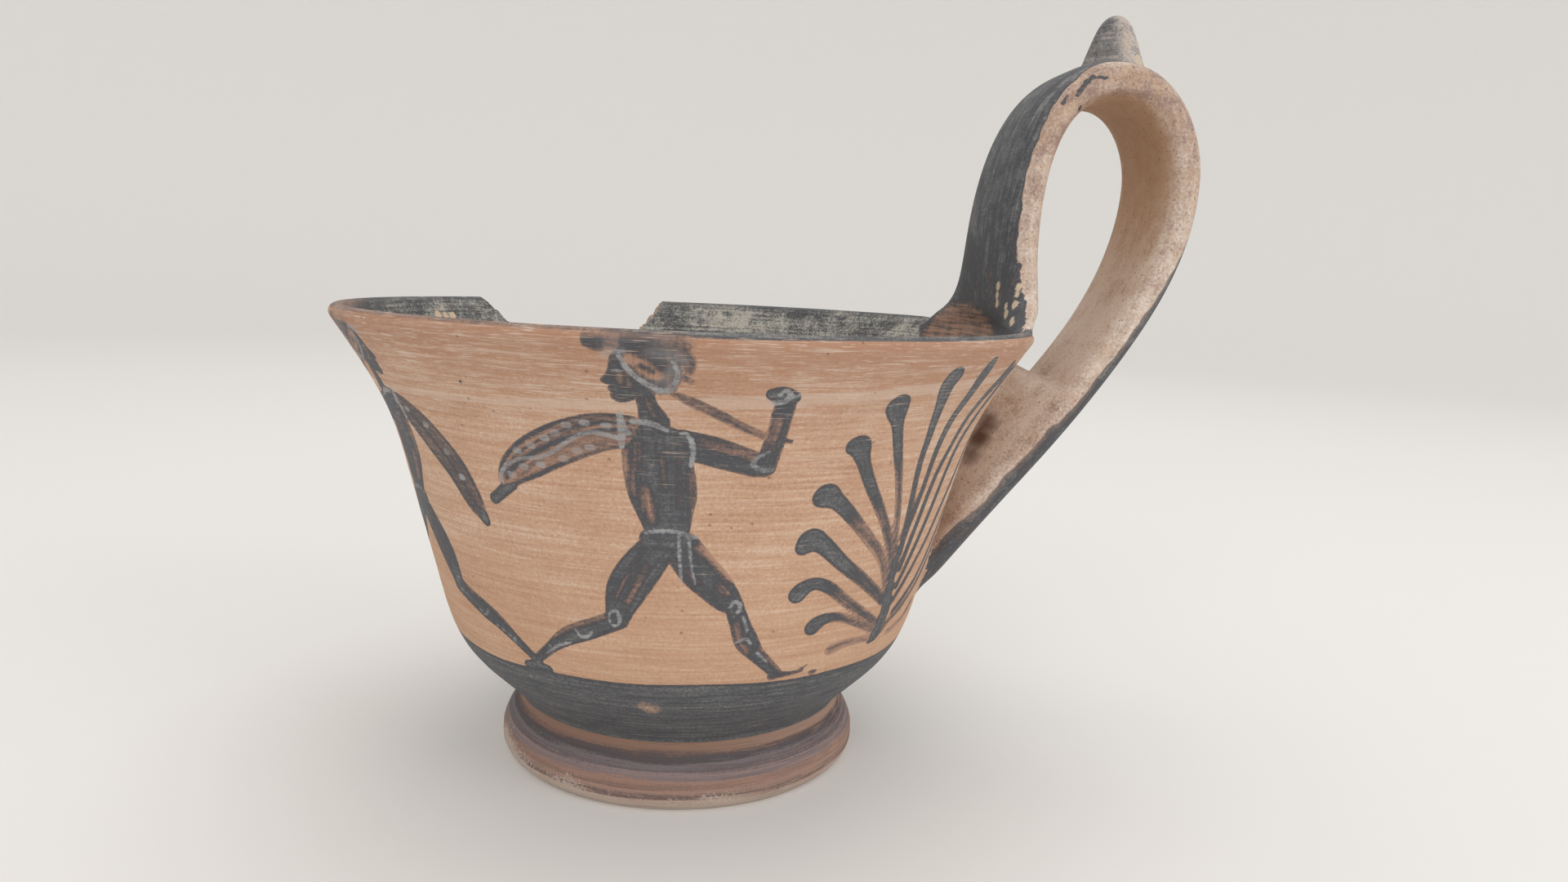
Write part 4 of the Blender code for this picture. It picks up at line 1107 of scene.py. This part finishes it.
for along, depth, size in CHIPS:
    off = np.hypot(strap_at[near_side] - along, (strap_depth[near_side] - depth) * 1.4)
    chosen = strap_points[near_side]
    lay(chosen, size - off, brush[chosen], np.ones(len(chosen)))

speckled = inside * (1 - 0.75 * rise_from(74.9, 75.3, height))
on_handle = (on_strap | on_knob).astype(float)
layers = {"slip": slip, "load": load, "white": white, "haze": haze, "rubbed": rubbed, "bare": bare,
          "stain": stain, "inside": speckled, "handle": on_handle}
for name, values in layers.items():
    cup.data.attributes.new(name, "FLOAT", "POINT").data.foreach_set("value", values.astype(np.float32))
for name, values in (("brush", brush), ("grain", grain)):
    made = cup.data.attributes.new(name, "FLOAT_VECTOR", "POINT")
    made.data.foreach_set("vector", values.astype(np.float32).ravel())

# Slip-painted clay: a fine iron-rich clay fired orange, with the wheel's fine lines left in it. The slip
# fired to a soft grey-black sheen, browner where it was thin. Long burial left scratches, grit and a pale
# bloom. The broken clay is matt and grainy.
CLAY_SHADES = ((0.0, "#AC856C"), (0.33, "#BC967C"), (0.67, "#C5A288"), (1.0, "#D2B9A4"))
RIM_CLAY = "#A1755D"
LOW_CLAY = "#C59D7D"
BLOOM = "#D3C2B3"
GRIT = "#6A4E42"
SLIP_SHADES = ((0.0, "#A5836F"), (0.13, "#8C6F5F"), (0.27, "#72605A"), (0.41, "#554E4F"), (0.54, "#45464B"),
               (0.64, "#4D4F53"), (0.75, "#5B5C5F"), (0.85, "#6C6C6B"), (1.0, "#8A8783"))
DULL_WHITE = "#A2A3A4"
INSIDE_SHADES = ((0.0, "#404041"), (0.3, "#5B5B5A"), (0.52, "#777672"), (0.74, "#97938B"), (1.0, "#B7B1A5"))
HANDLE_SHADES = ((0.0, "#957D72"), (0.22, "#AE9587"), (0.43, "#BDA899"), (0.65, "#CEBDB0"), (1.0, "#E0D3C8"))
OCHRE = "#A98361"
OCHRE_PATCH = (54.5, -4.5, 65.5)
CREAM = "#CDB99C"
# The dark brown of the painted shade in the hollow by the web and under the loop's top
HOLLOW_SHADE = "#5C4134"
FOOT_SHADES = ((0.0, "#BDADA1"), (0.125, "#B7A397"), (0.19, "#A98F82"), (0.23, "#61504E"),
               (0.27, "#937A6F"), (0.32, "#A08172"), (0.375, "#846A60"), (0.42, "#9E7C6B"),
               (0.475, "#7B6E70"), (0.525, "#8F7C78"), (0.58, "#655C5E"), (0.64, "#7B7072"),
               (0.695, "#545053"), (0.75, "#5E5150"), (0.805, "#86695B"), (0.895, "#8F7160"),
               (1.0, "#836656"))
FOOT_STRIPES = 11.2
STRIPES_SHIFT = 3.2
WORN_FOOT = "#A88775"
FOOT_NECK = "#A98E7E"
FOOT_GROOVE = "#574A49"
FOOT_CHIP = "#BBAA9E"
BROKEN_SHADES = ((0.0, "#7D6C5E"), (0.44, "#A08A78"), (0.71, "#B8A18E"), (1.0, "#8E7C6D"))


# Nodes by kind, and their settings. A range takes its value as 0, and its ends from and to as 1 to 4. A mix
# takes its share as 0, and its numbers as 2 and 3 or its colours as 6 and 7.
NUMBER, VECTOR, RANGE = "ShaderNodeMath", "ShaderNodeVectorMath", "ShaderNodeMapRange"
NOISE, CELLS = "ShaderNodeTexNoise", "ShaderNodeTexVoronoi"
MIX, RAMP = "ShaderNodeMix", "ShaderNodeValToRGB"
PLUS, LESS, TIMES = {"operation": "ADD"}, {"operation": "SUBTRACT"}, {"operation": "MULTIPLY"}
FUSED, LARGER = {"operation": "MULTIPLY_ADD"}, {"operation": "MAXIMUM"}
SOFT = {"interpolation_type": "SMOOTHSTEP"}
COLOUR = {"data_type": "RGBA"}

# Stretched noises: what each runs along, its scale per millimetre on three axes, its detail and roughness.
# The wheel left broad lines, fine lines and sparse hairlines, and on the handle the lines run along it.
STRETCHED = (("broad", "place", (0.02, 0.02, 0.35), 3.0, 0.5),
             ("lines", "place", (0.07, 0.07, 2.3), 4.0, 0.65),
             ("hairs", "place", (0.26, 0.26, 7.0), 2.0, 0.5),
             ("drifts", "place", (0.06, 0.06, 1.5), 6.0, 0.75),
             ("rings", "place", (0.04, 0.04, 2.4), 6.0, 0.75),
             ("pulls", "grain", (0.5, 0.5, 0.14), 5.0, 0.6),
             ("bristles", "brush", (0.1, 1.5, 1.7), 3.0, 0.6))
EVEN = (("clouds", 0.07, 5.0, 0.6), ("fine", 2.2, 5.0, 0.75), ("blots", 0.3, 7.0, 0.7))


def textured(tree):
    """The painted layers and the noises that clay and slip share, all in millimetres."""
    at = SimpleNamespace()
    for name in ("slip", "load", "white", "haze", "rubbed", "bare", "stain", "inside", "handle"):
        setattr(at, name, add(tree, "ShaderNodeAttribute", {"attribute_name": name}).outputs["Fac"])
    for name in ("grain", "brush"):
        setattr(at, name, add(tree, "ShaderNodeAttribute", {"attribute_name": name}).outputs["Vector"])
    place = add(tree, "ShaderNodeTexCoord").outputs["Object"]
    place = add(tree, VECTOR, {"operation": "SCALE"}, {0: place, "Scale": 1 / MM}).outputs[0]
    at.place = add(tree, VECTOR, PLUS, {0: place, 1: (-AXIS_X, 0.0, 0.0)}).outputs[0]
    at.east, _, at.level = add(tree, "ShaderNodeSeparateXYZ", {}, {0: at.place}).outputs
    at.through = add(tree, "ShaderNodeSeparateXYZ", {}, {0: at.grain}).outputs["Y"]
    at.off_handle = add(tree, NUMBER, LESS, {0: 1.0, 1: at.handle}).outputs[0]
    for name, along, scale, detail, rough in STRETCHED:
        along = add(tree, VECTOR, TIMES, {0: getattr(at, along), 1: scale}).outputs[0]
        drawn = add(tree, NOISE, {}, {"Vector": along, "Scale": 1.0, "Detail": detail, "Roughness": rough})
        setattr(at, name, drawn.outputs[0])
    for name, scale, detail, rough in EVEN:
        drawn = add(tree, NOISE, {},
                    {"Vector": at.place, "Scale": scale, "Detail": detail, "Roughness": rough})
        setattr(at, name, drawn.outputs[0])
    at.lines = add(tree, MIX, {}, {0: at.handle, 2: at.lines, 3: at.pulls}).outputs[0]
    at.aloft = add(tree, RANGE, SOFT, {0: at.level, 1: 44.0, 2: 68.0, 3: -0.05, 4: 0.05}).outputs[0]
    flaked = add(tree, NUMBER, FUSED, {0: at.fine, 1: 0.9, 2: at.bare}).outputs[0]
    at.flaked = add(tree, RANGE, SOFT, {0: flaked, 1: 0.6, 2: 0.33}).outputs[0]
    at.loaded = add(tree, RANGE, SOFT, {0: at.load, 1: 0.4, 2: 0.9}).outputs[0]
    grit = add(tree, CELLS, {}, {"Vector": at.place, "Scale": 0.3}).outputs["Distance"]
    grit = add(tree, NUMBER, FUSED, {0: at.fine, 1: 0.08, 2: grit}).outputs[0]
    at.grit = add(tree, RANGE, SOFT, {0: grit, 1: 0.13, 2: 0.08, 3: 0.0, 4: 0.55}).outputs[0]
    return at


def handle_clay(tree, at, tone):
    """The handle's clay: greyer on its sides and more ochre where it faces the bowl."""
    facing_in = add(tree, RANGE, SOFT, {0: at.through, 1: 1.6, 2: 3.4}).outputs[0]
    # The tone darkens towards the loop's top and low on the web. Where the strap faces the bowl it is also
    # lifted, a painted light against the shade there
    upward = add(tree, RANGE, {}, {0: at.level, 1: 112.0, 2: 78.0, 3: -0.73, 4: -0.52}).outputs[0]
    tone = add(tree, NUMBER, PLUS, {0: upward, 1: tone}).outputs[0]
    toward_foot = add(tree, RANGE, SOFT, {0: at.level, 1: 72.0, 2: 56.0, 3: 0.0, 4: -0.1}).outputs[0]
    tone = add(tree, NUMBER, PLUS, {0: toward_foot, 1: tone}).outputs[0]
    for part, weight in ((at.blots, 0.9), (at.fine, 0.5), (facing_in, 0.14)):
        tone = add(tree, NUMBER, FUSED, {0: part, 1: weight, 2: tone}).outputs[0]
    at_knob = add(tree, RANGE, SOFT, {0: at.level, 1: 118.5, 2: 122.0, 3: 0.0, 4: 0.3}).outputs[0]
    tone = add(tree, NUMBER, PLUS, {0: tone, 1: at_knob}).outputs[0]
    tone = add(tree, RANGE, {}, {0: tone, 1: 0.5, 2: 1.1}).outputs[0]
    clay = add(tree, RAMP, {}, {0: tone}, HANDLE_SHADES).outputs[0]
    ochre = add(tree, RANGE, SOFT, {0: at.level, 1: 70.0, 2: 104.0, 3: 0.25, 4: 0.85}).outputs[0]
    ochre = add(tree, NUMBER, TIMES, {0: ochre, 1: facing_in}).outputs[0]
    blotched = add(tree, RANGE, SOFT, {0: at.blots, 1: 0.48, 2: 0.6, 3: 0.0, 4: 0.4}).outputs[0]
    to_patch = add(tree, VECTOR, {"operation": "DISTANCE"}, {0: at.place, 1: OCHRE_PATCH}).outputs["Value"]
    to_patch = add(tree, NUMBER, FUSED, {0: at.blots, 1: 12.0, 2: to_patch}).outputs[0]
    to_patch = add(tree, RANGE, SOFT, {0: to_patch, 1: 14.0, 2: 7.5, 3: 0.0, 4: 0.5}).outputs[0]
    for part in (blotched, to_patch):
        ochre = add(tree, NUMBER, LARGER, {0: ochre, 1: part}).outputs[0]
    return add(tree, MIX, COLOUR, {0: ochre, 6: clay, 7: tint(OCHRE)}).outputs[2]


def bare_clay(tree, at):
    """The clay below the slip, with its pits, its grit, and a pale bloom in the wheel's lines."""
    tone = -0.35
    for part, weight in ((at.clouds, 0.35), (at.broad, 0.3), (at.lines, 0.7), (at.fine, 0.75)):
        tone = add(tree, NUMBER, FUSED, {0: part, 1: weight, 2: tone}).outputs[0]
    share = add(tree, RANGE, {}, {0: tone, 1: 0.5, 2: 0.89}).outputs[0]
    clay = add(tree, RAMP, {}, {0: share}, CLAY_SHADES).outputs[0]
    handle = handle_clay(tree, at, tone)
    clay = add(tree, MIX, COLOUR, {0: at.handle, 6: clay, 7: handle}).outputs[2]
    pits = add(tree, CELLS, {}, {"Vector": at.place, "Scale": 0.9}).outputs["Distance"]
    pits = add(tree, NUMBER, FUSED, {0: at.fine, 1: 0.14, 2: pits}).outputs[0]
    pits = add(tree, RANGE, SOFT, {0: pits, 1: 0.26, 2: 0.17, 3: 0.0, 4: 0.6}).outputs[0]
    pit_share = add(tree, NUMBER, FUSED, {0: at.handle, 1: 0.6, 2: 0.3}).outputs[0]
    pits = add(tree, NUMBER, TIMES, {0: pits, 1: pit_share}).outputs[0]
    clay = add(tree, MIX, COLOUR, {0: pits, 6: clay, 7: tint(GRIT)}).outputs[2]

    # Warmer low on the wall and browner under the rim
    low = add(tree, RANGE, SOFT, {0: at.level, 1: 52.0, 2: 26.0, 3: 0.0, 4: 0.3}).outputs[0]
    rim = add(tree, NUMBER, FUSED, {0: at.broad, 1: 12.0, 2: at.level}).outputs[0]
    rim = add(tree, RANGE, SOFT, {0: rim, 1: 67.0, 2: 81.0, 3: 0.0, 4: 0.68}).outputs[0]

    # Bloom, most of it high on the wall: in hairlines, in drifts with one long streak, and in flecks
    bloom = at.aloft
    for part, weight in ((at.clouds, 0.3), (at.hairs, 1.0)):
        bloom = add(tree, NUMBER, FUSED, {0: part, 1: weight, 2: bloom}).outputs[0]
    bloom = add(tree, RANGE, SOFT, {0: bloom, 1: 0.78, 2: 0.9, 3: 0.0, 4: 0.62}).outputs[0]
    streak = -68.0
    for part, weight in ((at.broad, 3.0), (at.east, -0.05)):
        streak = add(tree, NUMBER, FUSED, {0: part, 1: weight, 2: streak}).outputs[0]
    streak = add(tree, NUMBER, PLUS, {0: streak, 1: at.level}).outputs[0]
    streak = add(tree, NUMBER, {"operation": "ABSOLUTE"}, {0: streak}).outputs[0]
    streak = add(tree, RANGE, SOFT, {0: streak, 1: 1.0, 2: 0.3, 3: 0.0, 4: 0.2}).outputs[0]
    drifts = at.drifts
    for part in (at.aloft, streak):
        drifts = add(tree, NUMBER, PLUS, {0: drifts, 1: part}).outputs[0]
    drifts = add(tree, RANGE, SOFT, {0: drifts, 1: 0.55, 2: 0.69, 3: 0.0, 4: 0.36}).outputs[0]
    flecks = add(tree, VECTOR, TIMES, {0: at.place, 1: (0.4, 0.4, 3.0)}).outputs[0]
    flecks = add(tree, CELLS, {}, {"Vector": flecks, "Scale": 1.0}).outputs["Distance"]
    for part, weight in ((at.aloft, -1.2), (at.fine, 0.2)):
        flecks = add(tree, NUMBER, FUSED, {0: part, 1: weight, 2: flecks}).outputs[0]
    flecks = add(tree, RANGE, SOFT, {0: flecks, 1: 0.26, 2: 0.17, 3: 0.0, 4: 0.36}).outputs[0]
    for share, shade in ((low, LOW_CLAY), (rim, RIM_CLAY), (bloom, BLOOM), (drifts, BLOOM), (flecks, BLOOM)):
        share = add(tree, NUMBER, TIMES, {0: share, 1: at.off_handle}).outputs[0]
        clay = add(tree, MIX, COLOUR, {0: share, 6: clay, 7: tint(shade)}).outputs[2]

    # Painted shade, dark brown, in the hollow between the web and the wall and under the loop's top
    hollow_shading = add(tree, NUMBER, FUSED, {0: at.fine, 1: 0.6, 2: 0.7}).outputs[0]
    hollow_shading = add(tree, NUMBER, TIMES, {0: hollow_shading, 1: at.stain}).outputs[0]
    clay = add(tree, MIX, {"clamp_factor": True, **COLOUR}, {0: hollow_shading, 6: clay, 7: tint(HOLLOW_SHADE)}).outputs[2]
    clay = add(tree, MIX, COLOUR, {0: at.grit, 6: clay, 7: tint(GRIT)}).outputs[2]
    pale = add(tree, NUMBER, FUSED, {0: at.flaked, 1: -0.85, 2: 0.85}).outputs[0]
    return add(tree, MIX, COLOUR, {0: pale, 6: clay, 7: tint(CREAM)}).outputs[2]


def foot_clay(tree, at):
    """The foot: stripes of thin slip that ran round it as it turned, worn on its right and chipped below."""
    grooves = add(tree, RANGE, SOFT, {0: at.rings, 1: 0.5, 2: 0.66, 3: 0.0, 4: 0.5}).outputs[0]
    stripes = at.level
    for part, weight in ((at.rings, 2.4), (at.fine, 1.5), (at.lines, 1.8), (at.blots, 0.7)):
        stripes = add(tree, NUMBER, FUSED, {0: part, 1: weight, 2: stripes}).outputs[0]
    stripes = add(tree, RANGE, {}, {0: stripes, 1: STRIPES_SHIFT, 2: STRIPES_SHIFT + FOOT_STRIPES}).outputs[0]
    foot = add(tree, RAMP, {}, {0: stripes}, FOOT_SHADES).outputs[0]
    worn_east = add(tree, RANGE, SOFT, {0: at.east, 1: -4.0, 2: 30.0, 3: 0.0, 4: 0.75}).outputs[0]
    thinly = add(tree, NUMBER, FUSED, {0: at.hairs, 1: 0.7, 2: at.lines}).outputs[0]
    thinly = add(tree, RANGE, SOFT, {0: thinly, 1: 0.84, 2: 1.0}).outputs[0]
    neck = add(tree, RANGE, SOFT, {0: at.level, 1: 8.4, 2: 9.4}).outputs[0]
    for share, shade in ((thinly, WORN_FOOT), (neck, FOOT_NECK)):
        share = add(tree, NUMBER, TIMES, {0: share, 1: worn_east}).outputs[0]
        foot = add(tree, MIX, COLOUR, {0: share, 6: foot, 7: tint(shade)}).outputs[2]
    chips = at.fine
    for part, weight in ((at.clouds, 1.0), (at.level, -0.085), (at.east, -0.004)):
        chips = add(tree, NUMBER, FUSED, {0: part, 1: weight, 2: chips}).outputs[0]
    chips = add(tree, RANGE, SOFT, {0: chips, 1: 0.81, 2: 0.92, 3: 0.0, 4: 0.8}).outputs[0]
    for share, shade in ((grooves, FOOT_GROOVE), (chips, FOOT_CHIP)):
        foot = add(tree, MIX, COLOUR, {0: share, 6: foot, 7: tint(shade)}).outputs[2]
    return foot


def slip_edge(tree, at):
    """How deep within the slip's ragged edge a place lies."""
    ragged = add(tree, NUMBER, FUSED, {0: at.fine, 1: 0.3, 2: -0.15}).outputs[0]
    edge = add(tree, NUMBER, PLUS, {0: at.slip, 1: ragged}).outputs[0]
    crumbled = add(tree, NUMBER, FUSED, {0: at.blots, 1: 1.1, 2: -0.55}).outputs[0]
    return add(tree, NUMBER, FUSED, {0: crumbled, 1: at.handle, 2: edge}).outputs[0]


def slip_cover(tree, at, edge):
    """How much of the clay the slip still hides, where it isn't scratched, flaked or rubbed away."""
    covered = add(tree, RANGE, SOFT, {0: edge, 1: -0.08, 2: 0.1}).outputs[0]
    scratched = at.hairs
    for part, weight in ((at.clouds, 0.25), (at.aloft, 0.7), (at.handle, -0.3)):
        scratched = add(tree, NUMBER, FUSED, {0: part, 1: weight, 2: scratched}).outputs[0]
    scratched = add(tree, RANGE, SOFT, {0: scratched, 1: 0.765, 2: 0.89, 3: 1.0, 4: 0.42}).outputs[0]
    rubbed = -0.75
    for part, weight in ((at.blots, 1.5), (at.fine, 1.0)):
        rubbed = add(tree, NUMBER, FUSED, {0: part, 1: weight, 2: rubbed}).outputs[0]
    rubbed = add(tree, NUMBER, TIMES, {0: rubbed, 1: at.rubbed}).outputs[0]
    rubbed = add(tree, RANGE, {}, {0: rubbed, 1: 0.05, 2: 0.75, 3: 1.0, 4: 0.1}).outputs[0]
    for left in (scratched, at.flaked, rubbed):
        covered = add(tree, NUMBER, TIMES, {0: covered, 1: left}).outputs[0]
    return covered


def slip_colour(tree, at, edge):
    """The slip: brown where it is thin, black where it is loaded, and mottled grey inside the bowl."""
    margin = add(tree, RANGE, SOFT, {0: edge, 1: 0.0, 2: 0.6, 3: -0.38, 4: 0.0}).outputs[0]
    body = add(tree, NUMBER, PLUS, {0: at.load, 1: margin}).outputs[0]
    streaky = add(tree, NUMBER, FUSED, {0: at.handle, 1: 0.6, 2: 1.3}).outputs[0]
    streaky = add(tree, NUMBER, FUSED, {0: at.loaded, 1: -0.7, 2: streaky}).outputs[0]
    blotted = add(tree, NUMBER, FUSED, {0: at.handle, 1: 0.9, 2: 0.3}).outputs[0]
    for part, weight in ((at.bristles, streaky), (at.hairs, 0.3), (at.lines, 0.6), (at.fine, 1.15),
                         (at.blots, blotted), (at.handle, -0.75), (at.loaded, 0.35)):
        body = add(tree, NUMBER, FUSED, {0: part, 1: weight, 2: body}).outputs[0]
    body = add(tree, RANGE, {}, {0: body, 1: 1.9, 2: 3.2}).outputs[0]
    dark = add(tree, RAMP, {}, {0: body}, SLIP_SHADES).outputs[0]
    mottle = add(tree, NUMBER, TIMES, {0: at.fine, 1: 1.5}).outputs[0]
    for part, weight in ((at.lines, 0.9), (at.blots, 1.2), (at.clouds, 1.0), (at.east, 0.001)):
        mottle = add(tree, NUMBER, FUSED, {0: part, 1: weight, 2: mottle}).outputs[0]
    mottle = add(tree, RANGE, {}, {0: mottle, 1: 2.03, 2: 2.57}).outputs[0]
    mottled = add(tree, RAMP, {}, {0: mottle}, INSIDE_SHADES).outputs[0]
    share = add(tree, NUMBER, TIMES, {0: at.inside, 1: at.loaded}).outputs[0]
    return add(tree, MIX, COLOUR, {0: share, 6: dark, 7: mottled}).outputs[2]


def painted(material):
    """Builds the slip-painted clay: clay below, slip over it, and dull white on top."""
    material.use_nodes = True
    tree = material.node_tree
    shader = tree.nodes["Principled BSDF"]
    shader.inputs["IOR"].default_value = 1.5
    at = textured(tree)
    on_foot = add(tree, RANGE, SOFT, {0: at.level, 1: 11.0, 2: 10.8}).outputs[0]
    on_foot = add(tree, NUMBER, TIMES, {0: on_foot, 1: at.off_handle}).outputs[0]
    edge = slip_edge(tree, at)
    covered = slip_cover(tree, at, edge)
    seen = bare_clay(tree, at)
    for share, over in ((on_foot, foot_clay(tree, at)), (covered, slip_colour(tree, at, edge))):
        seen = add(tree, MIX, COLOUR, {0: share, 6: seen, 7: over}).outputs[2]

    # Dull white, worn thin in places
    chalk = add(tree, NUMBER, FUSED, {0: at.fine, 1: 0.5, 2: at.white}).outputs[0]
    chalk = add(tree, RANGE, SOFT, {0: chalk, 1: 0.17, 2: 0.42}).outputs[0]
    chalk = add(tree, NUMBER, LARGER, {0: chalk, 1: at.haze}).outputs[0]
    worn = -0.9
    for part, weight in ((at.clouds, 0.9), (at.fine, 1.1), (at.lines, 0.9)):
        worn = add(tree, NUMBER, FUSED, {0: part, 1: weight, 2: worn}).outputs[0]
    worn = add(tree, RANGE, SOFT, {0: worn, 1: 0.25, 2: 0.85, 3: 0.15, 4: 0.95}).outputs[0]
    chalk = add(tree, NUMBER, TIMES, {0: chalk, 1: worn}).outputs[0]
    seen = add(tree, MIX, COLOUR, {0: chalk, 6: seen, 7: tint(DULL_WHITE)}).outputs[2]
    tree.links.new(seen, shader.inputs["Base Color"])

    # The slip's sheen, and a relief of wheel lines, slip edges and pits
    gloss = add(tree, RANGE, {}, {0: covered, 3: 0.84, 4: 0.62}).outputs[0]
    gloss = add(tree, NUMBER, FUSED, {0: at.fine, 1: 0.12, 2: gloss}).outputs[0]
    tree.links.new(gloss, shader.inputs["Roughness"])
    relief = at.lines
    for part, weight in ((at.fine, 0.5), (covered, 0.2), (at.grit, -0.6)):
        relief = add(tree, NUMBER, FUSED, {0: part, 1: weight, 2: relief}).outputs[0]
    bump = add(tree, "ShaderNodeBump", {},
               {"Strength": 0.6, "Distance": 0.1 * MM, "Height": relief}).outputs[0]
    tree.links.new(bump, shader.inputs["Normal"])


def fractured(material):
    """Builds the broken clay: matt, grainy and greyed by soil, with paler temper showing."""
    material.use_nodes = True
    tree = material.node_tree
    shader = tree.nodes["Principled BSDF"]
    place = add(tree, "ShaderNodeTexCoord").outputs["Object"]
    rough = add(tree, NOISE, {}, {"Vector": place, "Scale": 900.0, "Detail": 5.0}).outputs[0]
    share = add(tree, RANGE, {}, {0: rough, 1: 0.3, 2: 0.75}).outputs[0]
    body = add(tree, RAMP, {}, {0: share}, BROKEN_SHADES).outputs[0]
    tree.links.new(body, shader.inputs["Base Color"])
    shader.inputs["Roughness"].default_value = 0.92
    bump = add(tree, "ShaderNodeBump", {},
               {"Strength": 0.8, "Distance": 0.3 * MM, "Height": rough}).outputs[0]
    tree.links.new(bump, shader.inputs["Normal"])


painted(painted_clay)
fractured(broken_clay)
cup.data.shade_smooth()
cup.data.set_sharp_from_angle(angle=math.radians(40.0))
cup.name = "kyathos_cup"
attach(cup, "root")
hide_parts("kyathos")

# Floor and light: a plain pale floor, matt painted, that bends up into a low wall all round. Three broad soft
# lamps and a pale surround light it.
FLOOR_SHADE = "#EDEBE8"
SURROUND_SHADE = "#F2F1EF"
FLOOR_FLAT, FLOOR_EDGE, WALL_TOP = 1.0, 1.6, 0.65
FLOOR_STEPS, FLOOR_AROUND = 24, 96

sweep = curve((FLOOR_FLAT, 0.0), (1.4, 0.0), (FLOOR_EDGE, 0.2), (FLOOR_EDGE, WALL_TOP), FLOOR_STEPS)
turns = np.linspace(0.0, 2 * math.pi, FLOOR_AROUND, endpoint=False)
corners = [(out * math.cos(turn), out * math.sin(turn), up) for out, up in sweep for turn in turns]
tiles = [tuple(range(len(turns)))]
for ring in range(len(sweep) - 1):
    for step in range(len(turns)):
        after = (step + 1) % len(turns)
        start = ring * len(turns)
        tiles.append((start + step, start + len(turns) + step, start + len(turns) + after, start + after))
matt_floor = bpy.data.materials.new("matt painted floor")
matt_floor.use_nodes = True
floor_shader = matt_floor.node_tree.nodes["Principled BSDF"]
floor_shader.inputs["Base Color"].default_value = tint(FLOOR_SHADE)
floor_shader.inputs["Roughness"].default_value = 0.9
floor_mesh = bpy.data.meshes.new("floor")
floor_mesh.from_pydata(corners, [], tiles)
floor_mesh.materials.append(matt_floor)
floor_mesh.shade_smooth()
floor = bpy.data.objects.new("floor", floor_mesh)
bpy.context.scene.collection.objects.link(floor)

LAMPS = (("front", (-0.35, -0.9, 0.55), 0.7, 2.5), ("right", (0.9, -0.75, 0.5), 0.7, 3.2),
         ("above", (0.1, 0.2, 1.1), 0.8, 2.4))
LIT_PLACE = Vector((0.0, 0.0, 0.05))
for name, place, size, power in LAMPS:
    lamp = bpy.data.lights.new(name, "AREA")
    lamp.size = size
    lamp.energy = power
    holder = bpy.data.objects.new(name, lamp)
    holder.location = place
    holder.rotation_euler = (LIT_PLACE - Vector(place)).to_track_quat("-Z", "Y").to_euler()
    bpy.context.scene.collection.objects.link(holder)
surround = bpy.data.worlds.new("studio")
surround.use_nodes = True
glow = surround.node_tree.nodes["Background"]
glow.inputs["Color"].default_value = tint(SURROUND_SHADE)
glow.inputs["Strength"].default_value = 0.8
bpy.context.scene.world = surround
bpy.context.scene.view_settings.view_transform = "Standard"
